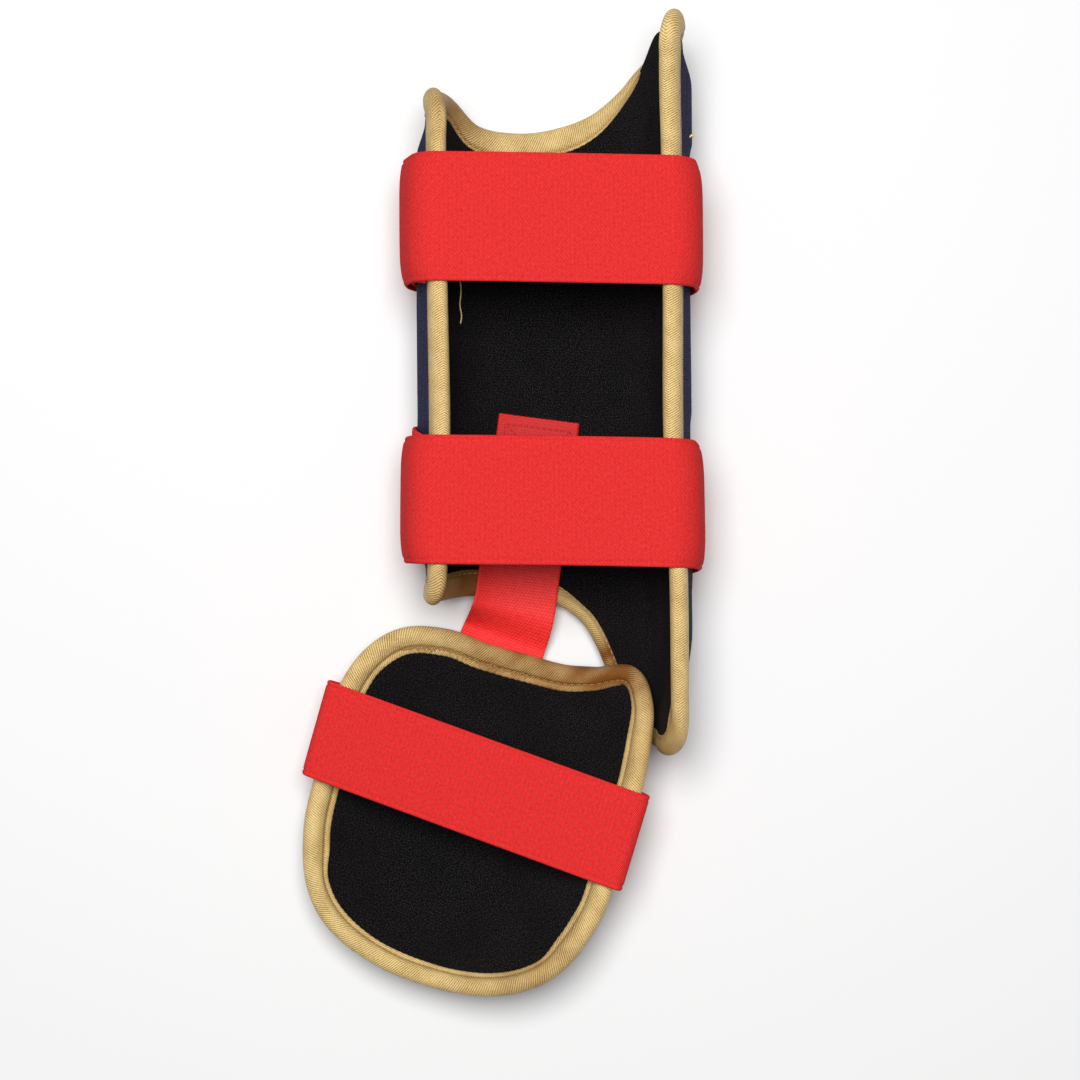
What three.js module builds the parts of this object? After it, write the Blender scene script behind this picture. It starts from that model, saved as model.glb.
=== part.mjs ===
// Baseball batter's leg and foot guard, lying on its outer face with the open side up.
// A padded trough covers the shin, a padded cup covers the instep, and one webbing joins them.
// Each is a padded shell, a lining and an edge binding; three elastic straps close the open side.
// Millimetres. +Z is up, +Y runs towards the knee, +X towards the long side of the trough.
import * as THREE from 'three';
import { mergeVertices } from 'three/addons/utils/BufferGeometryUtils.js';

// Cloth, foam and the play between pieces
const padThickness = 6.5;
const padEdgeThickness = 3.6;
const padTaperWidth = 14;
const liningThickness = 1.5;
const bindingWall = 1.1;
const bindingReach = 6.5;
const bindingMargin = 2.5;
const edgePinch = 0.35;
const strapThickness = 1.6;
const hookThickness = 1.5;
const webbingThickness = 1.5;
const layerGap = 0.3;

// Shin trough
const troughWidth = 96;
const troughDepth = 57.4;
const shortSideLength = 192;
const kneeRise = 31;
const ankleDrop = 59;
const panelCornerRadius = 8;

// Foot cup
const footLength = 140;
const footWidth = 122.5;
const longSideRise = 33;
const shortSideRise = 19;
const toeRise = 20;
const collarRise = 4;
const footTurn = 19.5;
const footSole = 9;
const keelShare = 0.065;
const footShift = 34.7;
const ankleGap = 83.9;

// Straps and webbing
const shinStrapWidth = 50;
const footStrapWidth = 39;
const upperStrapHeight = 145;
const upperStrapSkew = 2.4;
const lowerStrapHeight = 35.7;
const lowerStrapSkew = 5.7;
const strapTilt = 1;
const footStrapHeight = 8;
const strapBendRadius = 3.2;
const strapFlatShare = 0.9;
const wallTopShare = 0.8;
const wallFootShare = 0.42;
const lapSlack = 1.8;
const looseSlack = 2.9;
const shinLapLength = 38;
const footLapLength = 24;
const hookInset = 5;
const webbingWidth = 33;
const webbingSewnLength = 71;
const webbingTuck = 24;
const webbingShift = 15.2;
const webbingLean = 7.3;
const webbingDrop = 13;
const webbingClearance = 3;
const stepOffBinding = 6;

// Half of the trough's section, from the middle of the shin to the lip of a side wall.
// The pieces follow each other without a corner; length is a share of the half width, turn is in degrees.
const sectionPieces = [
  { name: 'sole', length: 0.2, turn: 0 },
  { name: 'shin', length: 0.33, turn: 12 },
  { name: 'corner', length: 0.676, turn: 68 },
  { name: 'wall', length: 0.339, turn: 10 },
  { name: 'lip', length: 0.368, turn: 20 },
];

// Knee edge of the trough: across is a share of the half section, rise a share of kneeRise.
const kneeEdge = [
  { across: -1.0, rise: 0.0 },
  { across: -0.8, rise: 0.08 },
  { across: -0.6, rise: 0.15 },
  { across: -0.51, rise: 0.09 },
  { across: -0.37, rise: -0.2 },
  { across: -0.19, rise: -0.29 },
  { across: -0.02, rise: -0.25 },
  { across: 0.18, rise: -0.05 },
  { across: 0.34, rise: 0.32 },
  { across: 0.42, rise: 0.62 },
  { across: 0.51, rise: 0.97 },
  { across: 0.66, rise: 1.03 },
  { across: 1.0, rise: 1.0 },
];

// Ankle edge of the trough: drop is a share of ankleDrop.
const ankleEdge = [
  { across: -1.0, drop: 0.02 },
  { across: -0.6, drop: 0.0 },
  { across: -0.4, drop: -0.03 },
  { across: -0.15, drop: -0.02 },
  { across: 0.02, drop: 0.03 },
  { across: 0.14, drop: 0.15 },
  { across: 0.2, drop: 0.27 },
  { across: 0.26, drop: 0.46 },
  { across: 0.33, drop: 0.73 },
  { across: 0.42, drop: 0.94 },
  { across: 0.6, drop: 1.01 },
  { across: 0.82, drop: 1.02 },
  { across: 1.0, drop: 0.95 },
];

// How far the lips lean out along the leg: height is a share of shortSideLength, the rest of the half width.
const lipLean = [
  { height: -0.22, short: 0.015, long: 0.027 },
  { height: 0.05, short: -0.045, long: 0.009 },
  { height: 0.33, short: -0.07, long: -0.044 },
  { height: 0.63, short: -0.045, long: -0.048 },
  { height: 0.89, short: -0.032, long: -0.063 },
  { height: 1.06, short: -0.03, long: -0.08 },
  { height: 1.16, short: -0.03, long: -0.06 },
];

// Outline of the foot cup seen from above: angle in degrees from its long side, counted towards the ankle.
// Radius is a share of half the length and half the width, whichever way it points.
const footOutline = [
  { angle: 0, radius: 0.98 },
  { angle: 20, radius: 1.02 },
  { angle: 38, radius: 1.125 },
  { angle: 50, radius: 1.22 },
  { angle: 58, radius: 1.22 },
  { angle: 64, radius: 1.05 },
  { angle: 74, radius: 0.905 },
  { angle: 90, radius: 0.84 },
  { angle: 104, radius: 0.86 },
  { angle: 118, radius: 0.97 },
  { angle: 132, radius: 1.08 },
  { angle: 145, radius: 1.1 },
  { angle: 165, radius: 1.045 },
  { angle: 190, radius: 0.975 },
  { angle: 210, radius: 1.015 },
  { angle: 234, radius: 1.065 },
  { angle: 262, radius: 1.015 },
  { angle: 278, radius: 1.02 },
  { angle: 312, radius: 1.11 },
  { angle: 335, radius: 1.06 },
];

// How far a shin strap runs off square: share of its whole length, skew and tilt as shares of its own two.
const strapTurns = [
  { share: 0, skew: 1, tilt: 0 },
  { share: 0.12, skew: 1, tilt: 0 },
  { share: 0.34, skew: -1, tilt: 0 },
  { share: 0.52, skew: 0, tilt: -1 },
  { share: 0.8, skew: 0, tilt: 1 },
  { share: 1, skew: 0, tilt: 1 },
];

// A smooth curve through one column of a table; period closes it on itself.
function throughTable(rows, input, output, period = 0) {
  const xs = rows.map((row) => row[input]);
  const ys = rows.map((row) => row[output]);
  const count = xs.length;
  const x = (i) => (period ? xs[((i % count) + count) % count] + period * Math.floor(i / count) : xs[i]);
  const y = (i) => ys[((i % count) + count) % count];
  const slope = (i) => {
    const before = period ? i - 1 : Math.max(i - 1, 0);
    const after = period ? i + 1 : Math.min(i + 1, count - 1);
    return (y(after) - y(before)) / (x(after) - x(before));
  };
  return (value) => {
    let at = period ? xs[0] + (((value - xs[0]) % period) + period) % period : value;
    at = period ? at : Math.min(Math.max(at, xs[0]), xs[count - 1]);
    let i = 0;
    while (i < (period ? count - 1 : count - 2) && at > x(i + 1)) i += 1;
    const span = x(i + 1) - x(i);
    const t = (at - x(i)) / span;
    const bend = t * t * (3 - 2 * t);
    return y(i) * (1 - bend) + y(i + 1) * bend
      + span * t * (1 - t) * (slope(i) * (1 - t) - slope(i + 1) * t);
  };
}

const smoothStep = (t) => {
  const clamped = Math.min(Math.max(t, 0), 1);
  return clamped * clamped * (3 - 2 * clamped);
};
const halfTrough = troughWidth / 2;
const seamOffset = layerGap / 2;
const padOuter = seamOffset + padThickness;
const liningInner = -(seamOffset + liningThickness);
const floorHeight = strapThickness + layerGap + padOuter;
const sectionSteps = 24;

// The half section as points a small step apart, each with the length walked to it.
function walkSection() {
  const raw = [{ x: 0, z: 0 }];
  let heading = 0;
  for (const piece of sectionPieces) {
    const step = (piece.length * halfTrough) / sectionSteps;
    const turn = THREE.MathUtils.degToRad(piece.turn) / sectionSteps;
    for (let i = 0; i < sectionSteps; i += 1) {
      const last = raw.at(-1);
      const middle = heading + turn / 2;
      raw.push({ x: last.x + step * Math.cos(middle), z: last.z + step * Math.sin(middle) });
      heading += turn;
    }
  }
  const widest = Math.max(...raw.map((point) => point.x));
  const deepest = raw.at(-1).z;
  let length = 0;
  return raw.map((point, i) => {
    const x = (point.x * halfTrough) / widest;
    const z = (point.z * troughDepth) / deepest;
    if (i > 0) {
      const last = raw[i - 1];
      length += Math.hypot(x - (last.x * halfTrough) / widest, z - (last.z * troughDepth) / deepest);
    }
    return { x, z, length };
  });
}
const section = walkSection();
const halfSection = section.at(-1).length;

// Place and outward normal on the half section, a length from the middle of the shin.
function sectionAt(length) {
  let i = 1;
  while (i < section.length - 1 && section[i].length < length) i += 1;
  const a = section[i - 1];
  const b = section[i];
  const t = (length - a.length) / (b.length - a.length);
  const before = section[Math.max(i - 2, 0)];
  const after = section[Math.min(i + 1, section.length - 1)];
  const dx = (b.x - before.x) * (1 - t) + (after.x - a.x) * t;
  const dz = (b.z - before.z) * (1 - t) + (after.z - a.z) * t;
  const size = Math.hypot(dx, dz);
  return {
    x: a.x + (b.x - a.x) * t,
    z: a.z + (b.z - a.z) * t,
    normalX: dz / size,
    normalZ: length === 0 ? -1 : -dx / size,
  };
}

const leanShort = throughTable(lipLean, 'height', 'short');
const leanLong = throughTable(lipLean, 'height', 'long');

// A point of the trough: across runs round the section, along up the leg, out away from the leg.
function shinPoint(across, along, out) {
  const side = across < 0 ? -1 : 1;
  const at = sectionAt(Math.abs(across));
  const lift = at.z / troughDepth;
  const lean = (side < 0 ? leanShort : leanLong)(along / shortSideLength) * halfTrough * lift * lift;
  return new THREE.Vector3(
    side * (at.x + out * at.normalX + lean),
    along,
    floorHeight + at.z + out * at.normalZ,
  );
}

const kneeRiseAt = throughTable(kneeEdge, 'across', 'rise');
const ankleDropAt = throughTable(ankleEdge, 'across', 'drop');
const noseRadius = (liningThickness + padEdgeThickness + 3 * layerGap) / 2 + bindingWall;
const bindingMiddle = (padEdgeThickness - liningThickness) / 2;
const noseBack = 0.5;
const panelHalf = halfSection - (noseRadius - noseBack);

// The panel's cut edges, with round corners where they meet the lips.
function cornerDrop(across) {
  const fromLip = panelHalf - Math.abs(across);
  if (fromLip >= panelCornerRadius) return 0;
  const reach = panelCornerRadius - fromLip;
  return panelCornerRadius - Math.sqrt(Math.max(panelCornerRadius ** 2 - reach ** 2, 0));
}
const kneeAt = (across) =>
  shortSideLength + kneeRise * kneeRiseAt(across / panelHalf) - cornerDrop(across);
const ankleAt = (across) => -ankleDrop * ankleDropAt(across / panelHalf) + cornerDrop(across);

// Spans of stations round the section, as shares of the half panel; closest where the edges are steep.
const stationSpans = [
  { from: -1, to: -0.6, count: 4 },
  { from: -0.6, to: -0.3, count: 5 },
  { from: -0.3, to: 0, count: 3 },
  { from: 0, to: 0.5, count: 11 },
  { from: 0.5, to: 1, count: 5 },
];

// Stations round the section: close together at the corners of the panel, evenly spaced between.
function acrossStations() {
  const ends = [0, 30, 60, 90].map(
    (angle) => panelCornerRadius * (1 - Math.cos(THREE.MathUtils.degToRad(angle))),
  );
  const middle = panelHalf - panelCornerRadius;
  const list = ends.map((step) => -panelHalf + step);
  for (const { from, to, count } of stationSpans) {
    const start = Math.max(from * panelHalf, -middle);
    const end = Math.min(to * panelHalf, middle);
    const first = from === -1 ? 1 : 0;
    for (let i = first; i < count; i += 1) list.push(start + ((end - start) * i) / count);
  }
  return list.concat(ends.map((step) => panelHalf - step).reverse());
}
const stations = acrossStations();

// The panel's edge as a closed loop of {across, along}, clockwise seen from inside the trough.
function shinLoop() {
  const sideStep = 12;
  const side = (across, from, to) => {
    const count = Math.ceil(Math.abs(to - from) / sideStep);
    return Array.from({ length: count - 1 }, (_, i) => ({
      across,
      along: from + ((to - from) * (i + 1)) / count,
    }));
  };
  const last = stations.at(-1);
  return [
    ...stations.map((across) => ({ across, along: kneeAt(across) })),
    ...side(last, kneeAt(last), ankleAt(last)),
    ...stations.toReversed().map((across) => ({ across, along: ankleAt(across) })),
    ...side(-last, ankleAt(-last), kneeAt(-last)),
  ];
}

// Distance from a point to a closed loop, both with the same two named coordinates.
function distanceToLoop(loop, u, v, first, second) {
  let best = Infinity;
  loop.forEach((a, i) => {
    const b = loop[(i + 1) % loop.length];
    const du = b[first] - a[first];
    const dv = b[second] - a[second];
    const t = ((u - a[first]) * du + (v - a[second]) * dv) / (du * du + dv * dv);
    const near = Math.min(Math.max(t, 0), 1);
    best = Math.min(best, Math.hypot(u - a[first] - du * near, v - a[second] - dv * near));
  });
  return best;
}

// The binding's seam pinches the layers under it; past the binding they are at their full thickness.
const pinchAt = (fromEdge) => edgePinch * (1 - smoothStep((fromEdge - bindingReach) / bindingMargin));

// Padding is thin where the binding grips it and full past the taper.
const padAt = (fromEdge) =>
  padEdgeThickness - pinchAt(fromEdge)
  + (padThickness - padEdgeThickness) * smoothStep((fromEdge - bindingReach - bindingMargin) / padTaperWidth);

const padDepths = [
  0,
  bindingReach + bindingMargin,
  bindingReach + bindingMargin + padTaperWidth / 2,
  bindingReach + bindingMargin + padTaperWidth,
];

// A closed geometry from vertices and faces of three or four corners.
function solidGeometry(points, faces) {
  const positions = [];
  for (const face of faces) {
    for (let i = 2; i < face.length; i += 1) {
      for (const corner of [face[0], face[i - 1], face[i]]) positions.push(...points[corner].toArray());
    }
  }
  const geometry = new THREE.BufferGeometry();
  geometry.setAttribute('position', new THREE.Float32BufferAttribute(positions, 3));
  const merged = mergeVertices(geometry, 1e-4);
  merged.computeVertexNormals();
  return merged;
}

// A slab between two grids of points, closed round its four sides; over is the side that faces up or in.
function slabGeometry(over, under) {
  const rows = over.length;
  const columns = over[0].length;
  const points = [...over.flat(), ...under.flat()];
  const top = (i, j) => i * columns + j;
  const bottom = (i, j) => rows * columns + i * columns + j;
  const faces = [];
  for (let i = 0; i < rows - 1; i += 1) {
    for (let j = 0; j < columns - 1; j += 1) {
      faces.push([top(i, j), top(i + 1, j), top(i + 1, j + 1), top(i, j + 1)]);
      faces.push([bottom(i, j), bottom(i, j + 1), bottom(i + 1, j + 1), bottom(i + 1, j)]);
    }
  }
  for (let i = 0; i < rows - 1; i += 1) {
    const far = columns - 1;
    faces.push([top(i, 0), bottom(i, 0), bottom(i + 1, 0), top(i + 1, 0)]);
    faces.push([top(i, far), top(i + 1, far), bottom(i + 1, far), bottom(i, far)]);
  }
  for (let j = 0; j < columns - 1; j += 1) {
    const far = rows - 1;
    faces.push([top(0, j), top(0, j + 1), bottom(0, j + 1), bottom(0, j)]);
    faces.push([top(far, j), bottom(far, j), bottom(far, j + 1), top(far, j + 1)]);
  }
  return solidGeometry(points, faces);
}

// A slab between two polar grids, ring 0 at the rim and the last ring one point at the middle.
function discGeometry(over, under) {
  const rings = over.length - 1;
  const around = over[0].length;
  const layerPoints = (layer) => [...layer.slice(0, rings).flat(), layer[rings][0]];
  const points = [...layerPoints(over), ...layerPoints(under)];
  const half = rings * around + 1;
  const at = (layer, ring, i) => layer * half + ring * around + (ring === rings ? 0 : i % around);
  const faces = [];
  for (let i = 0; i < around; i += 1) {
    for (let ring = 0; ring < rings - 1; ring += 1) {
      faces.push([at(0, ring, i), at(0, ring + 1, i), at(0, ring + 1, i + 1), at(0, ring, i + 1)]);
      faces.push([at(1, ring, i), at(1, ring, i + 1), at(1, ring + 1, i + 1), at(1, ring + 1, i)]);
    }
    faces.push([at(0, rings - 1, i), at(0, rings, 0), at(0, rings - 1, i + 1)]);
    faces.push([at(1, rings - 1, i), at(1, rings - 1, i + 1), at(1, rings, 0)]);
    faces.push([at(0, 0, i), at(0, 0, i + 1), at(1, 0, i + 1), at(1, 0, i)]);
  }
  return solidGeometry(points, faces);
}

// A closed ring of sections, each a closed outline with the same number of points.
function ringGeometry(rings) {
  const size = rings[0].length;
  const faces = [];
  rings.forEach((_, i) => {
    const next = (i + 1) % rings.length;
    for (let j = 0; j < size; j += 1) {
      const k = (j + 1) % size;
      faces.push([i * size + j, next * size + j, next * size + k, i * size + k]);
    }
  });
  return solidGeometry(rings.flat(), faces);
}

// Section of the edge binding: outward runs past the panel's cut edge, out away from the leg.
function bindingSection() {
  const innerFace = bindingMiddle - noseRadius;
  const outerFace = bindingMiddle + noseRadius;
  const slotEnd = layerGap;
  const nose = [-90, -45, 0, 45, 90].map((angle) => ({
    outward: -noseBack + noseRadius * Math.cos(THREE.MathUtils.degToRad(angle)),
    out: bindingMiddle + noseRadius * Math.sin(THREE.MathUtils.degToRad(angle)),
  }));
  return [
    { outward: -bindingReach, out: innerFace },
    ...nose,
    { outward: -bindingReach, out: outerFace },
    { outward: -bindingReach, out: outerFace - bindingWall },
    { outward: slotEnd, out: outerFace - bindingWall },
    { outward: slotEnd, out: innerFace + bindingWall },
    { outward: -bindingReach, out: innerFace + bindingWall },
  ];
}

// Unit normals of a closed loop in its own plane, pointing out of it when it runs clockwise.
function loopNormals(loop, first, second) {
  return loop.map((_, i) => {
    const a = loop[(i - 1 + loop.length) % loop.length];
    const b = loop[(i + 1) % loop.length];
    const du = b[first] - a[first];
    const dv = b[second] - a[second];
    const size = Math.hypot(du, dv);
    return [-dv / size, du / size];
  });
}

const edgeLoop = shinLoop();

// Where an edge runs steeply, a row beside it is this many times as far along the leg as from the edge.
const steepestStretch = 2.6;

// Grid of the trough's panel at a distance out that may change with the distance from the edge.
function shinGrid(outAt) {
  const middleRows = 9;
  return stations.map((across) => {
    const low = ankleAt(across);
    const high = kneeAt(across);
    const slopeOf = (edge) =>
      (edge(Math.min(across + 1, panelHalf)) - edge(Math.max(across - 1, -panelHalf))) / 2;
    const stretch = (edge) => Math.min(Math.hypot(1, slopeOf(edge)), steepestStretch);
    const lows = padDepths.map((depth) => low + depth * stretch(ankleAt));
    const highs = padDepths.map((depth) => high - depth * stretch(kneeAt)).reverse();
    const between = Array.from({ length: middleRows }, (_, i) =>
      lows.at(-1) + ((highs[0] - lows.at(-1)) * (i + 1)) / (middleRows + 1));
    return [...lows, ...between, ...highs].map((along) =>
      shinPoint(across, along, outAt(distanceToLoop(edgeLoop, across, along, 'across', 'along'))));
  });
}

// Foot cup: a runs across the foot towards the long side, b towards the ankle.
const footKeel = -keelShare * footWidth;
const footLongSpan = footWidth / 2 - footKeel - footSole;
const footShortSpan = footWidth / 2 + footKeel - footSole;
const toeStart = footStrapHeight - footStrapWidth / 2;
const collarStart = footStrapHeight + footStrapWidth / 2;
const outlineShare = throughTable(footOutline, 'angle', 'radius', 360);

function footHeight(a, b) {
  const side = Math.max(Math.abs(a - footKeel) - footSole, 0);
  const sideRise = a > footKeel
    ? longSideRise * (side / footLongSpan) ** 2
    : shortSideRise * (side / footShortSpan) ** 2;
  const toe = Math.max(0, (toeStart - b) / (footLength / 2 + toeStart));
  const collar = Math.max(0, (b - collarStart) / (footLength / 2 - collarStart));
  return floorHeight + sideRise + toeRise * toe ** 2 + collarRise * collar ** 2;
}

// Where the cup's own middle lies on the floor, and how it is turned.
const footAngle = -THREE.MathUtils.degToRad(footTurn);
const footCentre = new THREE.Vector2(-footShift, -ankleGap);

// A place in the cup's own frame, moved to where the cup lies.
function cupPlace(a, b, z) {
  const plan = new THREE.Vector2(a, b).rotateAround(new THREE.Vector2(), footAngle).add(footCentre);
  return new THREE.Vector3(plan.x, plan.y, z);
}

// Slopes of the cup's surface across the foot and towards the ankle.
function cupSlopes(a, b) {
  const step = 0.01;
  return {
    across: (footHeight(a + step, b) - footHeight(a - step, b)) / (2 * step),
    along: (footHeight(a, b + step) - footHeight(a, b - step)) / (2 * step),
  };
}

// A point of the cup, out away from the foot along its surface's normal.
function footPoint(a, b, out) {
  const { across, along } = cupSlopes(a, b);
  const size = Math.hypot(across, along, 1);
  return cupPlace(a + (out * across) / size, b + (out * along) / size, footHeight(a, b) - out / size);
}

const footStations = 44;

// A point of the cup's edge, in the direction of an angle of the outline's table.
function footEdge(angle) {
  const cos = Math.cos(THREE.MathUtils.degToRad(angle));
  const sin = Math.sin(THREE.MathUtils.degToRad(angle));
  const reach = outlineShare(angle) / Math.hypot(cos / (footWidth / 2), sin / (footLength / 2));
  return { a: reach * cos, b: reach * sin };
}
const footLoop = Array.from({ length: footStations }, (_, i) => footEdge((-360 * i) / footStations));
const footNormals = loopNormals(footLoop, 'a', 'b');

// How much a step outwards shortens when the slope of the cup's wall is seen from above.
function slopeShare(point, normal) {
  const step = 0.1;
  const rise = footHeight(point.a + normal[0] * step, point.b + normal[1] * step)
    - footHeight(point.a - normal[0] * step, point.b - normal[1] * step);
  return 1 / Math.hypot(1, rise / (2 * step));
}

// Grid of the cup's panel: rings inwards from the edge, one ring halfway to the middle, and the middle.
const innerRingShare = 0.32;
function footGrid(outAt) {
  const rings = padDepths.map((depth) => footLoop.map((point, i) => {
    const [na, nb] = footNormals[i];
    const slope = slopeShare(point, footNormals[i]);
    const share = 1 - (depth * slope) / (point.a * na + point.b * nb);
    const a = point.a * share;
    const b = point.b * share;
    return footPoint(a, b, outAt(distanceToLoop(footLoop, a, b, 'a', 'b') / slope));
  }));
  const innerOut = outAt(footWidth);
  const inner = footLoop.map(({ a, b }) => footPoint(a * innerRingShare, b * innerRingShare, innerOut));
  return [...rings, inner, [footPoint(0, 0, innerOut)]];
}

function shinBinding() {
  const normals = loopNormals(edgeLoop, 'across', 'along');
  return ringGeometry(edgeLoop.map((point, i) => bindingSection().map(({ outward, out }) => shinPoint(
    point.across + normals[i][0] * outward,
    point.along + normals[i][1] * outward,
    out,
  ))));
}

function footBinding() {
  return ringGeometry(footLoop.map((point, i) => bindingSection().map(({ outward, out }) => {
    const step = outward * slopeShare(point, footNormals[i]);
    return footPoint(point.a + footNormals[i][0] * step, point.b + footNormals[i][1] * step, out);
  })));
}

// A path in one plane through corners, each rounded by its own radius; the ends have none.
function roundedPath(corners) {
  const steps = 5;
  const path = [];
  corners.forEach(({ at, radius }, i) => {
    if (!radius) {
      path.push(at);
      return;
    }
    const before = corners[i - 1].at.clone().sub(at).normalize();
    const after = corners[i + 1].at.clone().sub(at).normalize();
    const opening = Math.acos(THREE.MathUtils.clamp(before.dot(after), -1, 1));
    const turn = -Math.sign(before.cross(after)) * (Math.PI - opening);
    const inward = before.clone().add(after).normalize();
    const centre = at.clone().addScaledVector(inward, radius / Math.sin(opening / 2));
    const start = at.clone().addScaledVector(before, radius / Math.tan(opening / 2)).sub(centre);
    for (let k = 0; k <= steps; k += 1) {
      path.push(start.clone().rotateAround(new THREE.Vector2(), (turn * k) / steps).add(centre));
    }
  });
  return path;
}

// A strap as a flat band: its two long edges are paths of equal count in planes side by side.
// Each path holds u and v; place turns an edge's u and v, and its share of the length, into a point.
function bandGeometry(edges, place) {
  const offsets = edges.map((path) => path.map((point, i) => {
    const before = path[Math.max(i - 1, 0)];
    const after = path[Math.min(i + 1, path.length - 1)];
    const along = after.clone().sub(before).normalize();
    return new THREE.Vector2(along.y, -along.x).multiplyScalar(strapThickness / 2);
  }));
  const lengths = edges[0].map(() => 0);
  for (let i = 1; i < lengths.length; i += 1) {
    lengths[i] = lengths[i - 1] + edges[0][i].distanceTo(edges[0][i - 1]);
  }
  const face = (side) => edges[0].map((_, i) => edges.map((path, edge) => {
    const point = path[i].clone().addScaledVector(offsets[edge][i], side);
    return place(point.x, point.y, edge, lengths[i] / lengths.at(-1));
  }));
  return slabGeometry(face(-1), face(1));
}

// Lengths round the section where a strap that hugs the trough has its stations.
function hugStations(from, to) {
  const flat = sectionPieces[0].length * halfTrough;
  const spacing = 5;
  const marks = [from, -flat, -strapFlatShare * flat, strapFlatShare * flat, flat, to].filter(
    (mark) => mark >= Math.min(from, to) && mark <= Math.max(from, to),
  );
  return marks.flatMap((mark, i) => {
    if (i === marks.length - 1) return [mark];
    const count = Math.max(1, Math.round(Math.abs(marks[i + 1] - mark) / spacing));
    return Array.from({ length: count }, (_, k) => mark + ((marks[i + 1] - mark) * k) / count);
  });
}

const strapOut = padOuter + layerGap + strapThickness / 2;
const hookOut = strapOut + strapThickness / 2 + layerGap;
const lapOut = hookOut + hookThickness + layerGap + strapThickness / 2;
const wallTop = wallTopShare * panelHalf;
const wallFoot = wallFootShare * panelHalf;
const lipHeight = floorHeight + sectionAt(panelHalf - noseBack).z + noseRadius;
const lipReach = sectionAt(panelHalf - noseBack).x + bindingMiddle + noseRadius;
const strapTop = lipHeight + layerGap + strapThickness / 2;
const strapCorner = lipReach + layerGap + strapThickness / 2;

// Slack grows from the foot of a wall up to its top.
const slackAt = (across, slack) =>
  slack * smoothStep((Math.abs(across) - wallFoot) / (wallTop - wallFoot));
const turnSkew = throughTable(strapTurns, 'share', 'skew');
const turnTilt = throughTable(strapTurns, 'share', 'tilt');

// A shin strap: up the inner layer of the lap, under the shin, up the long side, over and down the lap.
function shinStrap(height, skew) {
  const halfWidth = shinStrapWidth / 2;
  const tilt = strapCorner * Math.tan(THREE.MathUtils.degToRad(strapTilt));
  const edges = [-halfWidth, halfWidth].map((offset) => {
    const along = height + offset;
    const hug = (across, out) => {
      const point = shinPoint(across, along, out);
      return new THREE.Vector2(point.x, point.z);
    };
    const under = hugStations(-wallTop, wallTop).map((across) =>
      hug(across, strapOut + (across > 0 ? slackAt(across, looseSlack) : 0)));
    const over = roundedPath([
      { at: under.at(-1) },
      { at: new THREE.Vector2(strapCorner, strapTop), radius: strapBendRadius },
      { at: new THREE.Vector2(-strapCorner, strapTop), radius: strapBendRadius },
      { at: hug(-wallTop, lapOut + lapSlack) },
    ]);
    const lap = hugStations(-wallTop, shinLapLength - wallTop).map((across) =>
      hug(across, lapOut + slackAt(across, lapSlack)));
    return [...under, ...over.slice(1, -1), ...lap];
  });
  return bandGeometry(edges, (u, v, edge, share) => {
    const shift = skew * turnSkew(share) + tilt * turnTilt(share);
    return new THREE.Vector3(u, height + (edge ? halfWidth : -halfWidth) + shift, v);
  });
}

// The hook patch between the two layers of a shin strap's lap.
function shinHook(height, skew) {
  const halfWidth = shinStrapWidth / 2 - hookInset;
  const rows = hugStations(hookInset - wallTop, shinLapLength - hookInset - wallTop);
  const face = (out) => rows.map((across) => [-halfWidth, halfWidth].map((offset) => {
    const point = shinPoint(across, height + offset, out);
    return point.setY(point.y + skew / 2);
  }));
  return slabGeometry(face(hookOut), face(hookOut + hookThickness));
}

// Height of a face of the trough over a place on the floor, below the walls.
function troughFloor(x, out) {
  let i = 1;
  while (i < section.length - 1 && section[i].x < Math.abs(x)) i += 1;
  const a = section[i - 1];
  const b = section[i];
  const slope = (b.z - a.z) / (b.x - a.x);
  return floorHeight + a.z + (Math.abs(x) - a.x) * slope - out * Math.hypot(1, slope);
}

// Height of a face of the cup over a place on the floor.
function cupFloor(x, y, out) {
  const place = new THREE.Vector2(x, y).sub(footCentre).rotateAround(new THREE.Vector2(), -footAngle);
  const { across, along } = cupSlopes(place.x, place.y);
  return footHeight(place.x, place.y) - out * Math.hypot(across, along, 1);
}

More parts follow.
